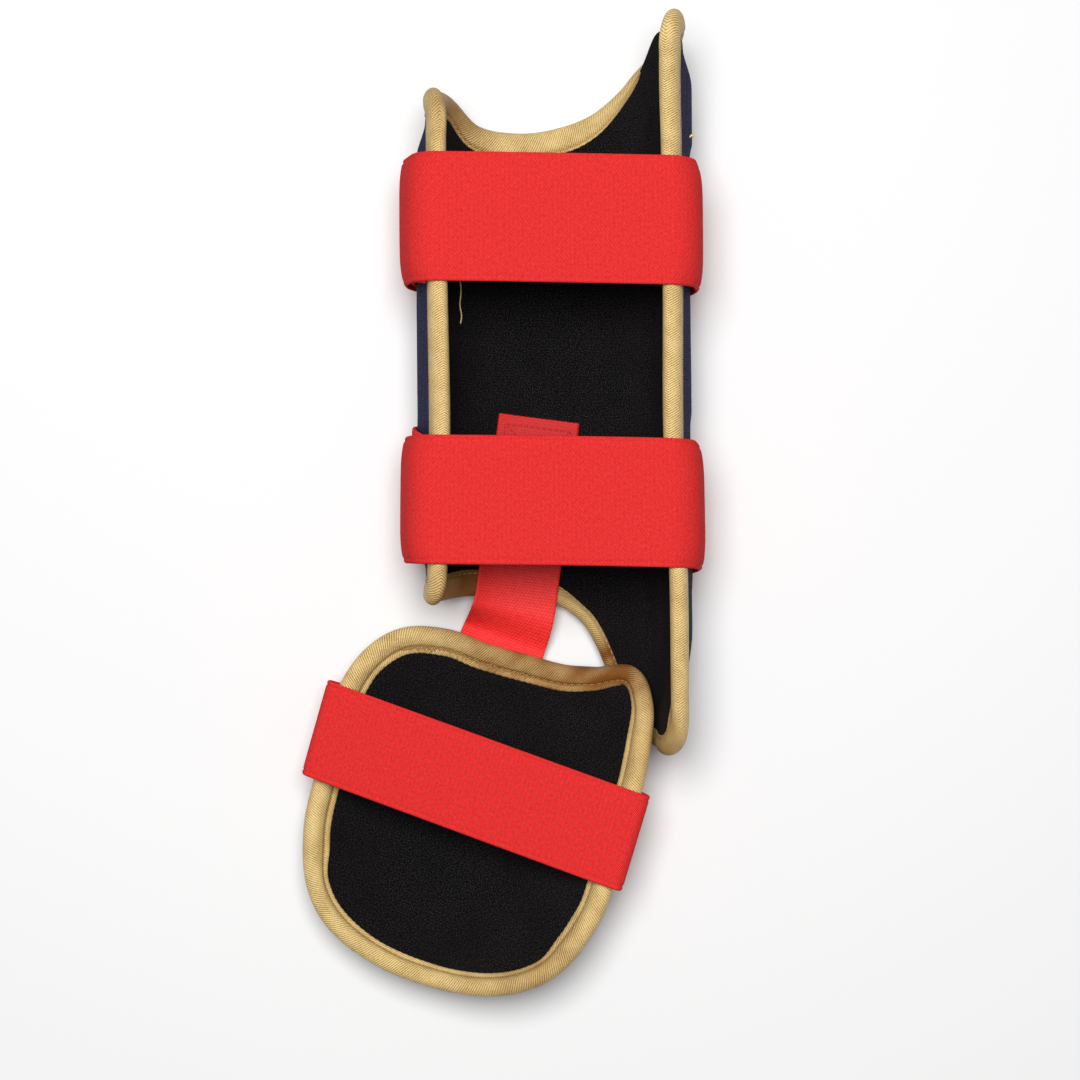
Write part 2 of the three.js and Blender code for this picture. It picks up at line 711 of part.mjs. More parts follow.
// The webbing: sewn down on the trough's lining, over its ankle edge, and sewn under the cup's collar.
function linkWebbing() {
  const halfWidth = webbingWidth / 2;
  const rowStep = 6;
  const crossing = noseRadius + webbingClearance;
  const length = webbingSewnLength + webbingDrop + crossing + webbingTuck;
  const count = Math.round(length / rowStep);
  const lengths = Array.from({ length: count + 1 }, (_, i) => webbingSewnLength - (length * i) / count);
  const leanAt = (at) => THREE.MathUtils.degToRad(
    webbingLean + (footTurn - webbingLean) * smoothStep(-at / (webbingDrop + crossing)),
  );
  const centreAt = (at) => {
    const place = new THREE.Vector2(-webbingShift, 0);
    const steps = 40;
    for (let i = 0; i < steps; i += 1) {
      const lean = leanAt((at * (i + 0.5)) / steps);
      place.x += (at / steps) * Math.sin(lean);
      place.y += (at / steps) * Math.cos(lean);
    }
    return place;
  };
  const rampStart = bindingReach + bindingMargin + halfWidth * Math.sin(leanAt(0));
  const rise = (at) => smoothStep(1 - (at - rampStart) / stepOffBinding);
  const face = (lift) => lengths.map((at) => {
    const centre = centreAt(at);
    const lean = leanAt(at);
    const onLining = -liningInner + layerGap + (bindingWall + layerGap) * rise(at) + lift;
    const fromCollar = -(at + webbingDrop + crossing);
    const bindingOuter = bindingMiddle + noseRadius;
    const onPad = smoothStep((fromCollar - bindingReach) / padTaperWidth);
    const underCup = bindingOuter + (padOuter - bindingOuter) * onPad + layerGap + webbingThickness - lift;
    const share = smoothStep((-at - crossing) / webbingDrop);
    return [-1, -0.5, 0, 0.5, 1].map((side) => {
      const x = centre.x + side * halfWidth * Math.cos(lean);
      const y = centre.y - side * halfWidth * Math.sin(lean);
      const z = troughFloor(x, -onLining) * (1 - share) + cupFloor(x, y, underCup) * share;
      return new THREE.Vector3(x, y, z);
    });
  });
  return slabGeometry(face(webbingThickness), face(0));
}

// Place on the cup's rim where the strap's edge crosses it, on the long or the short side.
function rimAt(b, side) {
  let low = side > 0 ? -90 : 90;
  let high = side > 0 ? 90 : 270;
  for (let i = 0; i < 40; i += 1) {
    const middle = (low + high) / 2;
    if ((footEdge(middle).b < b) === (side > 0)) low = middle;
    else high = middle;
  }
  return footEdge((low + high) / 2).a;
}

// A point of the cup's section at one b, with out measured square to the section's own curve.
function cupSection(a, b, out) {
  const step = 0.01;
  const slope = (footHeight(a + step, b) - footHeight(a - step, b)) / (2 * step);
  const size = Math.hypot(slope, 1);
  return new THREE.Vector2(a + (out * slope) / size, footHeight(a, b) - out / size);
}

const cupStations = 9;
// Half a gap more than elsewhere, because a wrap is made of chords that cut its arc short.
const wrapRadius = noseRadius + 1.5 * layerGap + strapThickness / 2;

// Places across the cup, from one side to the other, with the flat sole kept exact.
function cupMarks(from, to) {
  const flat = strapFlatShare * footSole;
  const evenly = (start, end) =>
    Array.from({ length: cupStations }, (_, i) => start + ((end - start) * i) / cupStations);
  return [
    ...evenly(from, footKeel - footSole),
    footKeel - footSole,
    footKeel - flat,
    footKeel + flat,
    ...evenly(footKeel + footSole, to),
    to,
  ];
}

// How far the rim bulges out past a straight line between the strap's two edges.
function rimBulge(side) {
  const half = footStrapWidth / 2;
  const low = rimAt(footStrapHeight - half, side);
  const high = rimAt(footStrapHeight + half, side);
  const samples = 8;
  const bulges = Array.from({ length: samples - 1 }, (_, i) => {
    const share = (i + 1) / samples;
    const rim = rimAt(footStrapHeight + (2 * share - 1) * half, side);
    return side * (rim - low - (high - low) * share);
  });
  return Math.max(0, ...bulges);
}

// The two corners that wrap a strap round the cup's rim: the first below the rim, the second above it.
function rimCorners(b, side) {
  const a = rimAt(b, side) + side * rimBulge(side);
  const inner = cupSection(a - side * noseBack, b, bindingMiddle);
  const below = cupSection(a - side * noseBack, b, bindingMiddle + wrapRadius).sub(inner);
  const outward = new THREE.Vector2(-below.y, below.x).multiplyScalar(side);
  return {
    low: { at: inner.clone().add(below).add(outward), radius: wrapRadius },
    high: { at: inner.clone().sub(below).add(outward), radius: strapBendRadius },
  };
}

const rimInset = bindingReach + bindingMargin;
const footLapSteps = 4;

// The foot strap: from the inner layer of the lap, under the cup, up the short side, over and down the lap.
function footStrap() {
  const halfWidth = footStrapWidth / 2;
  const edges = [-halfWidth, halfWidth].map((offset) => {
    const b = footStrapHeight + offset;
    const long = rimAt(b, 1) - rimInset;
    const short = rimAt(b, -1) + rimInset;
    const under = cupMarks(short, long - hookInset).reverse().map((a) => cupSection(a, b, strapOut));
    const shortRim = rimCorners(b, -1);
    const longRim = rimCorners(b, 1);
    const lap = Array.from({ length: footLapSteps + 1 }, (_, i) =>
      cupSection(long - (footLapLength * i) / footLapSteps, b, lapOut));
    const over = roundedPath([
      { at: under.at(-1) },
      shortRim.low,
      shortRim.high,
      longRim.high,
      longRim.low,
      { at: lap[0] },
    ]);
    return [...under, ...over.slice(1, -1), ...lap];
  });
  return bandGeometry(edges, (u, v, edge) =>
    cupPlace(u, footStrapHeight + (edge ? halfWidth : -halfWidth), v));
}

// The hook patch between the two layers of the foot strap's lap.
function footHook() {
  const halfWidth = footStrapWidth / 2 - hookInset;
  const rows = Array.from({ length: footLapSteps + 1 }, (_, i) => i / footLapSteps);
  const face = (out) => rows.map((share) => [-halfWidth, halfWidth].map((offset) => {
    const b = footStrapHeight + offset;
    const from = rimAt(b, 1) - rimInset - footLapLength + hookInset;
    const to = rimAt(b, 1) - rimInset - 2 * hookInset;
    const point = cupSection(from + (to - from) * share, b, out);
    return cupPlace(point.x, b, point.y);
  }));
  return slabGeometry(face(hookOut), face(hookOut + hookThickness));
}

const navy = new THREE.MeshStandardMaterial({ color: '#1b2140', roughness: 0.9, metalness: 0 });
const black = new THREE.MeshStandardMaterial({ color: '#121113', roughness: 0.95, metalness: 0 });
const gold = new THREE.MeshStandardMaterial({ color: '#dcbb6e', roughness: 0.75, metalness: 0 });
const red = new THREE.MeshStandardMaterial({ color: '#e8282d', roughness: 0.8, metalness: 0 });
const darkRed = new THREE.MeshStandardMaterial({ color: '#a81a20', roughness: 0.95, metalness: 0 });

function piece(name, geometry, material) {
  const mesh = new THREE.Mesh(geometry, material);
  mesh.name = name;
  return mesh;
}

// The four faces of a panel, as distances out that depend on the distance from the edge.
const liningFace = (fromEdge) => liningInner + pinchAt(fromEdge);
const liningBack = () => -seamOffset;
const padFace = () => seamOffset;
const padBack = (fromEdge) => seamOffset + padAt(fromEdge);

const guard = new THREE.Group();
guard.add(
  piece('shin_shell', slabGeometry(shinGrid(padFace), shinGrid(padBack)), navy),
  piece('shin_lining', slabGeometry(shinGrid(liningFace), shinGrid(liningBack)), black),
  piece('shin_binding', shinBinding(), gold),
  piece('foot_shell', discGeometry(footGrid(padFace), footGrid(padBack)), navy),
  piece('foot_lining', discGeometry(footGrid(liningFace), footGrid(liningBack)), black),
  piece('foot_binding', footBinding(), gold),
  piece('upper_strap', shinStrap(upperStrapHeight, upperStrapSkew), red),
  piece('lower_strap', shinStrap(lowerStrapHeight, lowerStrapSkew), red),
  piece('foot_strap', footStrap(), red),
  piece('link_webbing', linkWebbing(), red),
  piece('upper_closure', shinHook(upperStrapHeight, upperStrapSkew), darkRed),
  piece('lower_closure', shinHook(lowerStrapHeight, lowerStrapSkew), darkRed),
  piece('foot_closure', footHook(), darkRed),
);

// The origin is on the surface that the guard lies on, under the middle of its outline.
const outline = new THREE.Box3().setFromObject(guard);
const middle = outline.getCenter(new THREE.Vector3());
guard.position.set(-middle.x, -middle.y, -outline.min.z);

export default guard;
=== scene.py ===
# A batter's leg and foot guard, lying on its outer face and seen from straight above.
# Lengths are millimetres until makePiece turns them into metres; angles are degrees.
import bpy
import numpy as np
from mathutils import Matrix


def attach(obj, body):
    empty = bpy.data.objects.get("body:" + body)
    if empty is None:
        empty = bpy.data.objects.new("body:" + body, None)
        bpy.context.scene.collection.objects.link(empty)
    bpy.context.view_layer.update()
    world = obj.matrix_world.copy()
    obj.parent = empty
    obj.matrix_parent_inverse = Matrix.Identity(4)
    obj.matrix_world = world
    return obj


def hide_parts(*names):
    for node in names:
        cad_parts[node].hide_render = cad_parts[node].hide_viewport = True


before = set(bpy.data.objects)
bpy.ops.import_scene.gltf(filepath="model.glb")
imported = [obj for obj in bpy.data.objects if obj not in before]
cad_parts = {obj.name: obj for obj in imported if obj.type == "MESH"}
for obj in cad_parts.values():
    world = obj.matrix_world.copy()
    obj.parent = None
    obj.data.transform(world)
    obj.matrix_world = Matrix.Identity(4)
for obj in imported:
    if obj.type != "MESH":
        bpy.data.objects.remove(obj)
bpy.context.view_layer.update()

metre = 0.001
origin = np.array([21.326, -33.361, 0.0])  # middle of the trough's short ankle edge, in the CAD's frame

# Thickness of each layer; the pad thins towards its edge, where the binding holds it
cloth = {
    "pad": 6.5, "padEdge": 3.6, "padTaper": 14, "lining": 1.5, "strap": 1.6, "hook": 1.5, "webbing": 1.5,
    "bindingWall": 1.1, "bindingReach": 6.5, "bindingMargin": 2.5, "gap": 0.3, "pinch": 0.35,
}
trough = {
    "width": 96, "depth": 57.4, "shortSide": 192, "kneeRise": 31, "ankleDrop": 59, "corner": 8, "ankleCorner": 15,
    # how far the long side is drawn in, and from where to where, by share across and by place along
    "drawnIn": 5, "drawnFrom": (0.42, 0.3), "drawnTo": (0.8, 0.2), "drawnBelow": (14, 40),
    # share of the half width, turn
    "section": [(0.2, 0), (0.33, 12), (0.676, 68), (0.339, 10), (0.368, 20)],
    # across as a share of the half section, rise as a share of kneeRise
    "kneeEdge": [
        (-1, 0), (-0.8, 0.08), (-0.6, 0.15), (-0.51, 0.09), (-0.37, -0.2), (-0.19, -0.29),
        (-0.02, -0.25), (0.18, -0.05), (0.34, 0.32), (0.42, 0.62), (0.51, 0.97), (0.66, 1.03), (1, 1),
    ],
    "ankleEdge": [
        (-1, 0.02), (-0.6, 0), (-0.4, -0.03), (-0.15, -0.02), (0.02, 0.03), (0.14, 0.15),
        (0.2, 0.27), (0.26, 0.46), (0.33, 0.73), (0.42, 0.94), (0.6, 1.01), (0.82, 1.02), (1, 0.95),
    ],
    # height as a share of shortSide, lean of the short and the long side
    "lean": [
        (-0.22, 0.015, 0.027), (0.05, -0.045, 0.009), (0.33, -0.07, -0.044), (0.63, -0.045, -0.048),
        (0.89, -0.032, -0.063), (1.06, -0.03, -0.08), (1.16, -0.03, -0.06),
    ],
}
cup = {
    "length": 140, "width": 122.5, "longRise": 33, "shortRise": 19, "toeRise": 20, "collarRise": 4,
    "turn": 19.5, "sole": 9, "keel": 0.065, "shift": 34.7, "ankleGap": 83.9,
    "strapPlace": 8, "strapWidth": 39,  # place and width of the flat band under the foot strap
    # angle from the long side towards the ankle, share of half the length and width
    "outline": [
        (0, 0.98), (20, 1.02), (38, 1.125), (50, 1.22), (58, 1.22), (64, 1.05), (74, 0.905),
        (90, 0.84), (104, 0.86), (118, 0.97), (132, 1.075), (145, 1.085), (165, 1.015), (190, 0.95),
        (210, 0.997), (234, 1.06), (262, 1.015), (278, 1.02), (312, 1.11), (335, 1.06),
    ],
}

halfTrough = trough["width"] / 2
bindingInset = cloth["bindingReach"] + cloth["bindingMargin"]
seamOffset = cloth["gap"] / 2
padOuter = seamOffset + cloth["pad"]
liningInner = -(seamOffset + cloth["lining"])
floorHeight = cloth["strap"] + cloth["gap"] + padOuter
noseRadius = (cloth["lining"] + cloth["padEdge"] + 3 * cloth["gap"]) / 2 + cloth["bindingWall"]
noseMiddle = (cloth["padEdge"] - cloth["lining"]) / 2
noseBack = 0.5


# From 0 at start to 1 at start + width, level at both: 3t2 - 2t3
def smooth(value, start=0, width=1):
    t = np.clip((value - start) / width, 0, 1)
    return t * t * (3 - 2 * t)


# Values side by side as the last axis
def stacked(*parts):
    return np.stack(np.broadcast_arrays(*parts), -1)


# Vectors divided by their lengths
def unit(vectors):
    return vectors / np.linalg.norm(vectors, axis=-1, keepdims=True)


# Cubic through the rows of a table; the slope at a row is the chord between its neighbours.
def tableAt(rows, at, column=1, period=0):
    rows = np.array(rows, float)
    xs, ys = rows[:, 0], rows[:, column]
    if period:
        at = xs[0] + (at - xs[0]) % period
        xs = np.concatenate([xs[-1:] - period, xs, xs[:2] + period])
        ys = np.concatenate([ys[-1:], ys, ys[:2]])
    at = np.clip(at, xs[0], xs[-1])
    count = len(xs)
    before = np.maximum(np.arange(count) - 1, 0)
    after = np.minimum(np.arange(count) + 1, count - 1)
    slope = (ys[after] - ys[before]) / (xs[after] - xs[before])
    i = np.clip(np.searchsorted(xs, at, side="right") - 1, 0, count - 2)
    span = xs[i + 1] - xs[i]
    t = (at - xs[i]) / span
    curve = span * t * (1 - t) * (slope[i] * (1 - t) - slope[i + 1] * t)
    return ys[i] * (1 - smooth(t)) + ys[i + 1] * smooth(t) + curve


# Unevenness of cloth: the sum of nine plane waves of about one wavelength, from about -1 to 1.
def uneven(x, y, wavelength, seed):
    draw = np.random.default_rng(seed)
    waves = [draw.uniform(low, high, 9) for low, high in ((0, 6.28), (0.6, 1.6), (0, 6.28))]
    total = 0
    for angle, size, phase in zip(*waves):
        total = total + np.sin(6.28 * (x * np.cos(angle) + y * np.sin(angle)) / (wavelength * size) + phase)
    return total / 4


# Lengths walked along a line of points, from 0.
def walked(points):
    return np.r_[0, np.cumsum(np.linalg.norm(np.diff(points, axis=0), axis=1))]


# Points at even steps along a closed line, and its length.
def evenly(points, step):
    closed = np.vstack([points, points[:1]])
    length = walked(closed)
    count = int(round(length[-1] / step))
    at = np.arange(count) * length[-1] / count
    return stacked(*(np.interp(at, length, column) for column in closed.T)), length[-1]


# Unit normals of a closed line in its plane: its direction turned by 90 degrees, outwards on a clockwise line.
def loopNormals(loop, reach=3):
    ahead = unit(np.roll(loop, -reach, axis=0) - np.roll(loop, reach, axis=0))
    return stacked(-ahead[:, 1], ahead[:, 0])


# Distance from points to a closed line, through the nearest of its points.
def distanceTo(loop, points):
    flat = points.reshape(-1, 2)
    best = np.full(len(flat), 1e9)
    for part in np.array_split(loop, max(1, len(loop) // 60)):
        gap = flat[:, None, :] - part[None, :, :]
        best = np.minimum(best, np.sqrt((gap ** 2).sum(-1)).min(1))
    return best.reshape(points.shape[:-1])


# A mesh from points and lists of faces of equal size; a closed one is turned to face outwards.
# weave holds for each face corner the place on the cloth in millimetres.
# paintedShade is how far painted shade darkens its colour, from 0 to 1, a value a point.
def makePiece(name, points, faces, weave, material, slot, stands=(), paintedShade=None):
    triangles = np.concatenate([f[:, [0, i, i + 1]] for f in faces for i in range(1, f.shape[1] - 1)])
    a, b, c = (points[triangles[:, i]] for i in range(3))
    if np.einsum("ij,ij->", a, np.cross(b, c)) < 0:
        faces = [f[:, ::-1] for f in faces]
        weave = [w[:, ::-1] for w in weave]
    sizes = np.concatenate([np.full(len(f), f.shape[1]) for f in faces])
    corners = np.concatenate([f.ravel() for f in faces]).astype(np.int32)
    made = bpy.data.meshes.new(name)
    made.vertices.add(len(points))
    made.vertices.foreach_set("co", ((points + origin) * metre).astype(np.float32).ravel())
    made.loops.add(len(corners))
    made.loops.foreach_set("vertex_index", corners)
    made.polygons.add(len(sizes))
    made.polygons.foreach_set("loop_start", np.r_[0, np.cumsum(sizes)[:-1]].astype(np.int32))
    made.polygons.foreach_set("use_smooth", np.ones(len(sizes), bool))
    places = np.concatenate([w.reshape(-1, 2) for w in weave]).astype(np.float32)
    made.uv_layers.new(name="weave").data.foreach_set("uv", places.ravel())
    if paintedShade is not None:
        made.attributes.new("paintedShade", "FLOAT", "POINT").data.foreach_set("value", paintedShade.astype(np.float32))
    made.update(calc_edges=True)
    made.validate()
    piece = bpy.data.objects.new(name, made)
    bpy.context.scene.collection.objects.link(piece)
    made.materials.append(material)
    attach(piece, "root")
    if stands:
        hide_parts(*stands)
    print(name, len(triangles), "triangles")
    return piece


# Corners of the quads of a grid of numbers.
def quadsOf(grid):
    return stacked(grid[:-1, :-1], grid[1:, :-1], grid[1:, 1:], grid[:-1, 1:]).reshape(-1, 4)


# Closed slab between two grids of points, joined round their rim.
def slab(over, under, u, v):
    ids = np.arange(over[..., 0].size).reshape(over.shape[:2])
    top = quadsOf(ids)
    rim = np.concatenate([ids[0, :], ids[1:, -1], ids[-1, -2::-1], ids[-2:0:-1, 0]])
    following = np.roll(rim, -1)
    wall = stacked(rim, following, following + ids.size, rim + ids.size)
    faces = np.concatenate([top, top[:, ::-1] + ids.size, wall])
    place = stacked(u, v).reshape(-1, 2)
    return np.concatenate([over.reshape(-1, 3), under.reshape(-1, 3)]), [faces], [place[faces % ids.size]]


# Sections joined in a row, each a closed outline; u has a value a section and v one a point.
# A closed row has one more u than sections, an outline one more v than points.
def sweep(rings, u, v, closed=False):
    count, size = rings.shape[:2]
    ids = np.arange(count * size).reshape(count, size)
    ids = np.concatenate([ids, ids[:, :1]], 1)
    if closed:
        ids = np.concatenate([ids, ids[:1]])
    faces = [quadsOf(ids)]
    place = stacked(u[:, None], v).reshape(-1, 2)
    weave = [place[quadsOf(np.arange(ids.size).reshape(ids.shape))]]
    if not closed:
        for ring, at in ((ids[:1, :-1], u[0]), (ids[-1:, :-1][:, ::-1], u[-1])):
            faces.append(ring)
            weave.append(stacked(at, v[:-1])[None])
    return rings.reshape(-1, 3), faces, weave


# Copies of one closed shape, set on points with three unit directions each.
def copies(shape, faces, at, along, across, up):
    points = (at[:, None] + along[:, None] * shape[None, :, :1]
              + across[:, None] * shape[None, :, 1:2] + up[:, None] * shape[None, :, 2:]).reshape(-1, 3)
    step = (np.arange(len(at)) * len(shape))[:, None, None]
    made = [(f[None] + step).reshape(-1, f.shape[1]) for f in faces]
    return points, made, [points[f][..., :2] for f in made]


# Round thread along a line of points: a circle carried along it, thinner at both ends.
def threadAlong(path, radius, sides=6):
    tangent = unit(np.gradient(path, axis=0))
    side = unit(np.cross(tangent, [0.05, 0.02, 1.0]))
    up = np.cross(side, tangent)
    turn = np.linspace(0, 2 * np.pi, sides, endpoint=False)[:, None]
    fromEnd = np.minimum(np.arange(len(path)), np.arange(len(path))[::-1])
    size = radius * np.minimum(1, 0.45 + fromEnd / 2)
    rings = path[:, None] + size[:, None, None] * (np.cos(turn) * side[:, None] + np.sin(turn) * up[:, None])
    return sweep(rings, walked(path), np.linspace(0, 6.28 * radius, sides + 1))


# Several shapes as one.
def joined(shapes):
    points, faces, weave, count = [], [], [], 0
    for p, f, w in shapes:
        points.append(p)
        faces += [one + count for one in f]
        weave += w
        count += len(p)
    return np.concatenate(points), faces, weave


# Half the trough's section: short straight steps whose turns add up, scaled to the half width and the depth;
# it gives length, x, z and the direction.
def walkSection(steps=24):
    shares, turns = np.array(trough["section"], float).T
    lengths = np.repeat(shares * halfTrough / steps, steps)
    turning = np.repeat(np.radians(turns) / steps, steps)
    heading = np.cumsum(turning) - turning / 2
    x = np.r_[0, np.cumsum(lengths * np.cos(heading))]
    z = np.r_[0, np.cumsum(lengths * np.sin(heading))]
    x *= halfTrough / x.max()
    z *= trough["depth"] / z[-1]
    before = np.maximum(np.arange(len(x)) - 1, 0)
    after = np.minimum(np.arange(len(x)) + 1, len(x) - 1)
    return walked(stacked(x, z)), x, z, x[after] - x[before], z[after] - z[before]


section = walkSection()
panelHalf = section[0][-1] - (noseRadius - noseBack)


# x, z and the outward normal at a length round the half section, between its points
def sectionAt(length):
    x, z, dx, dz = (np.interp(length, section[0], column) for column in section[1:])
    size = np.hypot(dx, dz)
    return x, z, dz / size, -dx / size


# Across runs round the section, along up the leg, out away from the leg along the section's normal;
# the lips lean by the square of their height, and the long side is drawn in below the ankle.
def shinPoint(across, along, out):
    across, along, out = np.broadcast_arrays(across, along, out)
    x, z, normalX, normalZ = sectionAt(np.abs(across))
    height, share = along / trough["shortSide"], across / panelHalf
    lean = np.where(across < 0, tableAt(trough["lean"], height, 1), tableAt(trough["lean"], height, 2))
    x = x + out * normalX + lean * halfTrough * (z / trough["depth"]) ** 2
    drawn = smooth(share, *trough["drawnFrom"]) * (1 - smooth(share, *trough["drawnTo"]))
    x = x - trough["drawnIn"] * drawn * smooth(-along, *trough["drawnBelow"])
    return stacked(np.where(across < 0, -x, x), along, floorHeight + z + out * normalZ)


# How far a round corner falls away from the edge: radius less the height of its arc
def cornerDrop(across, radius=trough["corner"]):
    reach = np.clip(radius - (panelHalf - np.abs(across)), 0, radius)
    return radius - np.sqrt(radius ** 2 - reach ** 2)


# The knee edge: the short side's height, the table's rise and the round corners
def kneeAt(across):
    rise = trough["kneeRise"] * tableAt(trough["kneeEdge"], across / panelHalf)
    return trough["shortSide"] + rise - cornerDrop(across)


# The ankle edge: the table's drop below 0, and its round corners
def ankleAt(across):
    drop = np.where(across > 0, cornerDrop(across, trough["ankleCorner"]), cornerDrop(across))
    return -trough["ankleDrop"] * tableAt(trough["ankleEdge"], across / panelHalf) + drop


# Stations round the section: even, but on the corners at even angles of their arcs.
def acrossStations(count):
    arc = trough["corner"] * (1 - np.cos(np.radians(np.linspace(0, 90, 10))))
    middle = np.linspace(-panelHalf + trough["corner"], panelHalf - trough["corner"], count)
    return np.concatenate([-panelHalf + arc[:-1], middle, (panelHalf - arc[:-1])[::-1]])


# The panel's outline as a closed line of even steps: knee edge, long side, ankle edge, short side
def shinLoop(step):
    across = acrossStations(240)
    last = across[-1]
    side = np.linspace(0, 1, 200)[1:-1]
    knee = stacked(across, kneeAt(across))
    ankle = stacked(across, ankleAt(across))[::-1]
    down = stacked(last, kneeAt(last) + (ankleAt(last) - kneeAt(last)) * side)
    up = stacked(-last, ankleAt(-last) + (kneeAt(-last) - ankleAt(-last)) * side)
    return evenly(np.concatenate([knee, down, ankle, up]), step)


footKeel = -cup["keel"] * cup["width"]
footCentre = np.array([-cup["shift"], -cup["ankleGap"]])


# From the cup's own axes to the trough's: a turn about the cup's middle, and its place
def turned(a, b):
    angle = -np.radians(cup["turn"])
    return (a * np.cos(angle) - b * np.sin(angle) + footCentre[0],
            a * np.sin(angle) + b * np.cos(angle) + footCentre[1])


# The cup's bowl: past the flat sole each side rises by the square of the distance, as do toe and collar.
def footHeight(a, b):
    side = np.maximum(np.abs(a - footKeel) - cup["sole"], 0)
    longSpan = cup["width"] / 2 - footKeel - cup["sole"]
    shortSpan = cup["width"] / 2 + footKeel - cup["sole"]
    long, short = (cup["longRise"] * (side / longSpan) ** 2, cup["shortRise"] * (side / shortSpan) ** 2)
    toeStart, collarStart = (cup["strapPlace"] + side * cup["strapWidth"] / 2 for side in (-1, 1))
    toe = np.maximum(0, (toeStart - b) / (cup["length"] / 2 + toeStart))
    collar = np.maximum(0, (b - collarStart) / (cup["length"] / 2 - collarStart))
    rise = np.where(a > footKeel, long, short)
    return floorHeight + rise + cup["toeRise"] * toe ** 2 + cup["collarRise"] * collar ** 2


# Rise of the bowl per millimetre along both axes, by differences
def footSlopes(a, b, step=0.01):
    return ((footHeight(a + step, b) - footHeight(a - step, b)) / (2 * step),
            (footHeight(a, b + step) - footHeight(a, b - step)) / (2 * step))


# a runs across the foot to its long side, b towards the ankle, out away from the foot along the normal.
def footPoint(a, b, out):
    a, b, out = np.broadcast_arrays(a, b, out)
    slopeA, slopeB = footSlopes(a, b)
    size = np.sqrt(slopeA ** 2 + slopeB ** 2 + 1)
    x, y = turned(a + out * slopeA / size, b + out * slopeB / size)
    return stacked(x, y, footHeight(a, b) - out / size)


# The cup's outline: an ellipse whose radius is weighed by the table
def footEdge(angle):
    cos, sin = np.cos(np.radians(angle)), np.sin(np.radians(angle))
    reach = tableAt(cup["outline"], angle, 1, 360) / np.hypot(cos / (cup["width"] / 2), sin / (cup["length"] / 2))
    return stacked(reach * cos, reach * sin)


# How much shorter a step along the bowl is when seen from above: 1 / sqrt(1 + slope2)
def slopeShare(point, normal, step=0.1):
    ahead, behind = (footHeight(*(point + side * normal * step).T) for side in (1, -1))
    return 1 / np.hypot(1, (ahead - behind) / (2 * step))


# An sRGB hex colour as a linear one.
def linear(text):
    value = np.array([int(text[i:i + 2], 16) for i in (1, 3, 5)]) / 255
    value = np.where(value <= 0.04045, value / 12.92, ((value + 0.055) / 1.055) ** 2.4)
    return (*value.tolist(), 1.0)


# One node: values fill its inputs in order, a named one is an input or else a setting, and a value may be
# another node's output.
def addNode(tree, kind, *values, output=0, **named):
    node = tree.nodes.new("ShaderNode" + kind)
    inputs = dict(enumerate(values))
    for key, value in named.items():
        if key in node.inputs:
            inputs[key] = value
        else:
            setattr(node, key, value)
    for key, value in inputs.items():
        if isinstance(value, bpy.types.NodeSocket):
            tree.links.new(value, node.inputs[key])
        else:
            node.inputs[key].default_value = value
    return node.outputs[output]


# A sine over the millimetres of a place, one turn each pitch, its lines slanted by a share of another place
def ripple(tree, pitch, place, other=0.0, slant=0.0):
    slanted = addNode(tree, "Math", other, slant, place, operation="MULTIPLY_ADD")
    turns = addNode(tree, "Math", slanted, 2 * np.pi / pitch, operation="MULTIPLY")
    return addNode(tree, "Math", turns, operation="SINE")


# A cloth whose pattern is a height of about 0 to 1 over u along the piece and v across it, in millimetres.
# The height mixes its two tones and is its relief; a tone of painted shade darkens it where the piece's attribute
# says so.
def clothMaterial(name, look, pattern):
    material = bpy.data.materials.new(name)
    material.use_nodes = True
    tree = material.node_tree
    shader = tree.nodes["Principled BSDF"]
    for key, value in look["shader"].items():
        shader.inputs[key].default_value = value
    place = addNode(tree, "UVMap", uv_map="weave")
    parts = addNode(tree, "SeparateXYZ", place).node.outputs
    height = pattern(tree, look, place, parts[0], parts[1])
    ramp = addNode(tree, "ValToRGB", height).node
    ramp.color_ramp.elements[0].color = linear(look["dark"])
    ramp.color_ramp.elements[1].color = linear(look["light"])
    colour = ramp.outputs[0]
    if "paintedShadeTone" in look:
        # Painted shade: the tone multiplies the colour by the amount in the piece's attribute.
        paintedShade = addNode(tree, "Attribute", output=2, attribute_name="paintedShade")
        colour = addNode(tree, "MixRGB", paintedShade, colour, linear(look["paintedShadeTone"]), blend_type="MULTIPLY")
    tree.links.new(colour, shader.inputs["Base Color"])
    bump = addNode(tree, "Bump", Strength=1.0, Distance=look["relief"] * metre, Height=height)
    tree.links.new(bump, shader.inputs["Normal"])
    return material


# Gold tape woven in herringbone: ribs slant to both sides of its middle, and fine yarns cross them.
def tapePattern(tree, look, place, u, v):
    off = addNode(tree, "Math", v, operation="ABSOLUTE")
    ribs = ripple(tree, look["rib"], u, off, look["slant"])
    yarns = addNode(tree, "Math", ripple(tree, look["yarn"], off), 0.14, 0.36, operation="MULTIPLY_ADD")
    woven = addNode(tree, "Math", yarns, ribs, operation="MULTIPLY")
    blotch = addNode(tree, "TexNoise", Vector=place, Scale=0.11, Detail=5.0, Roughness=0.6)
    fuzz = addNode(tree, "TexNoise", Vector=place, Scale=1.3, Detail=2.0, Roughness=0.7)
    rough = addNode(tree, "Math", blotch, fuzz)
    height = addNode(tree, "Math", woven, 1.1, rough, operation="MULTIPLY_ADD")
    return addNode(tree, "Math", height, -0.38)


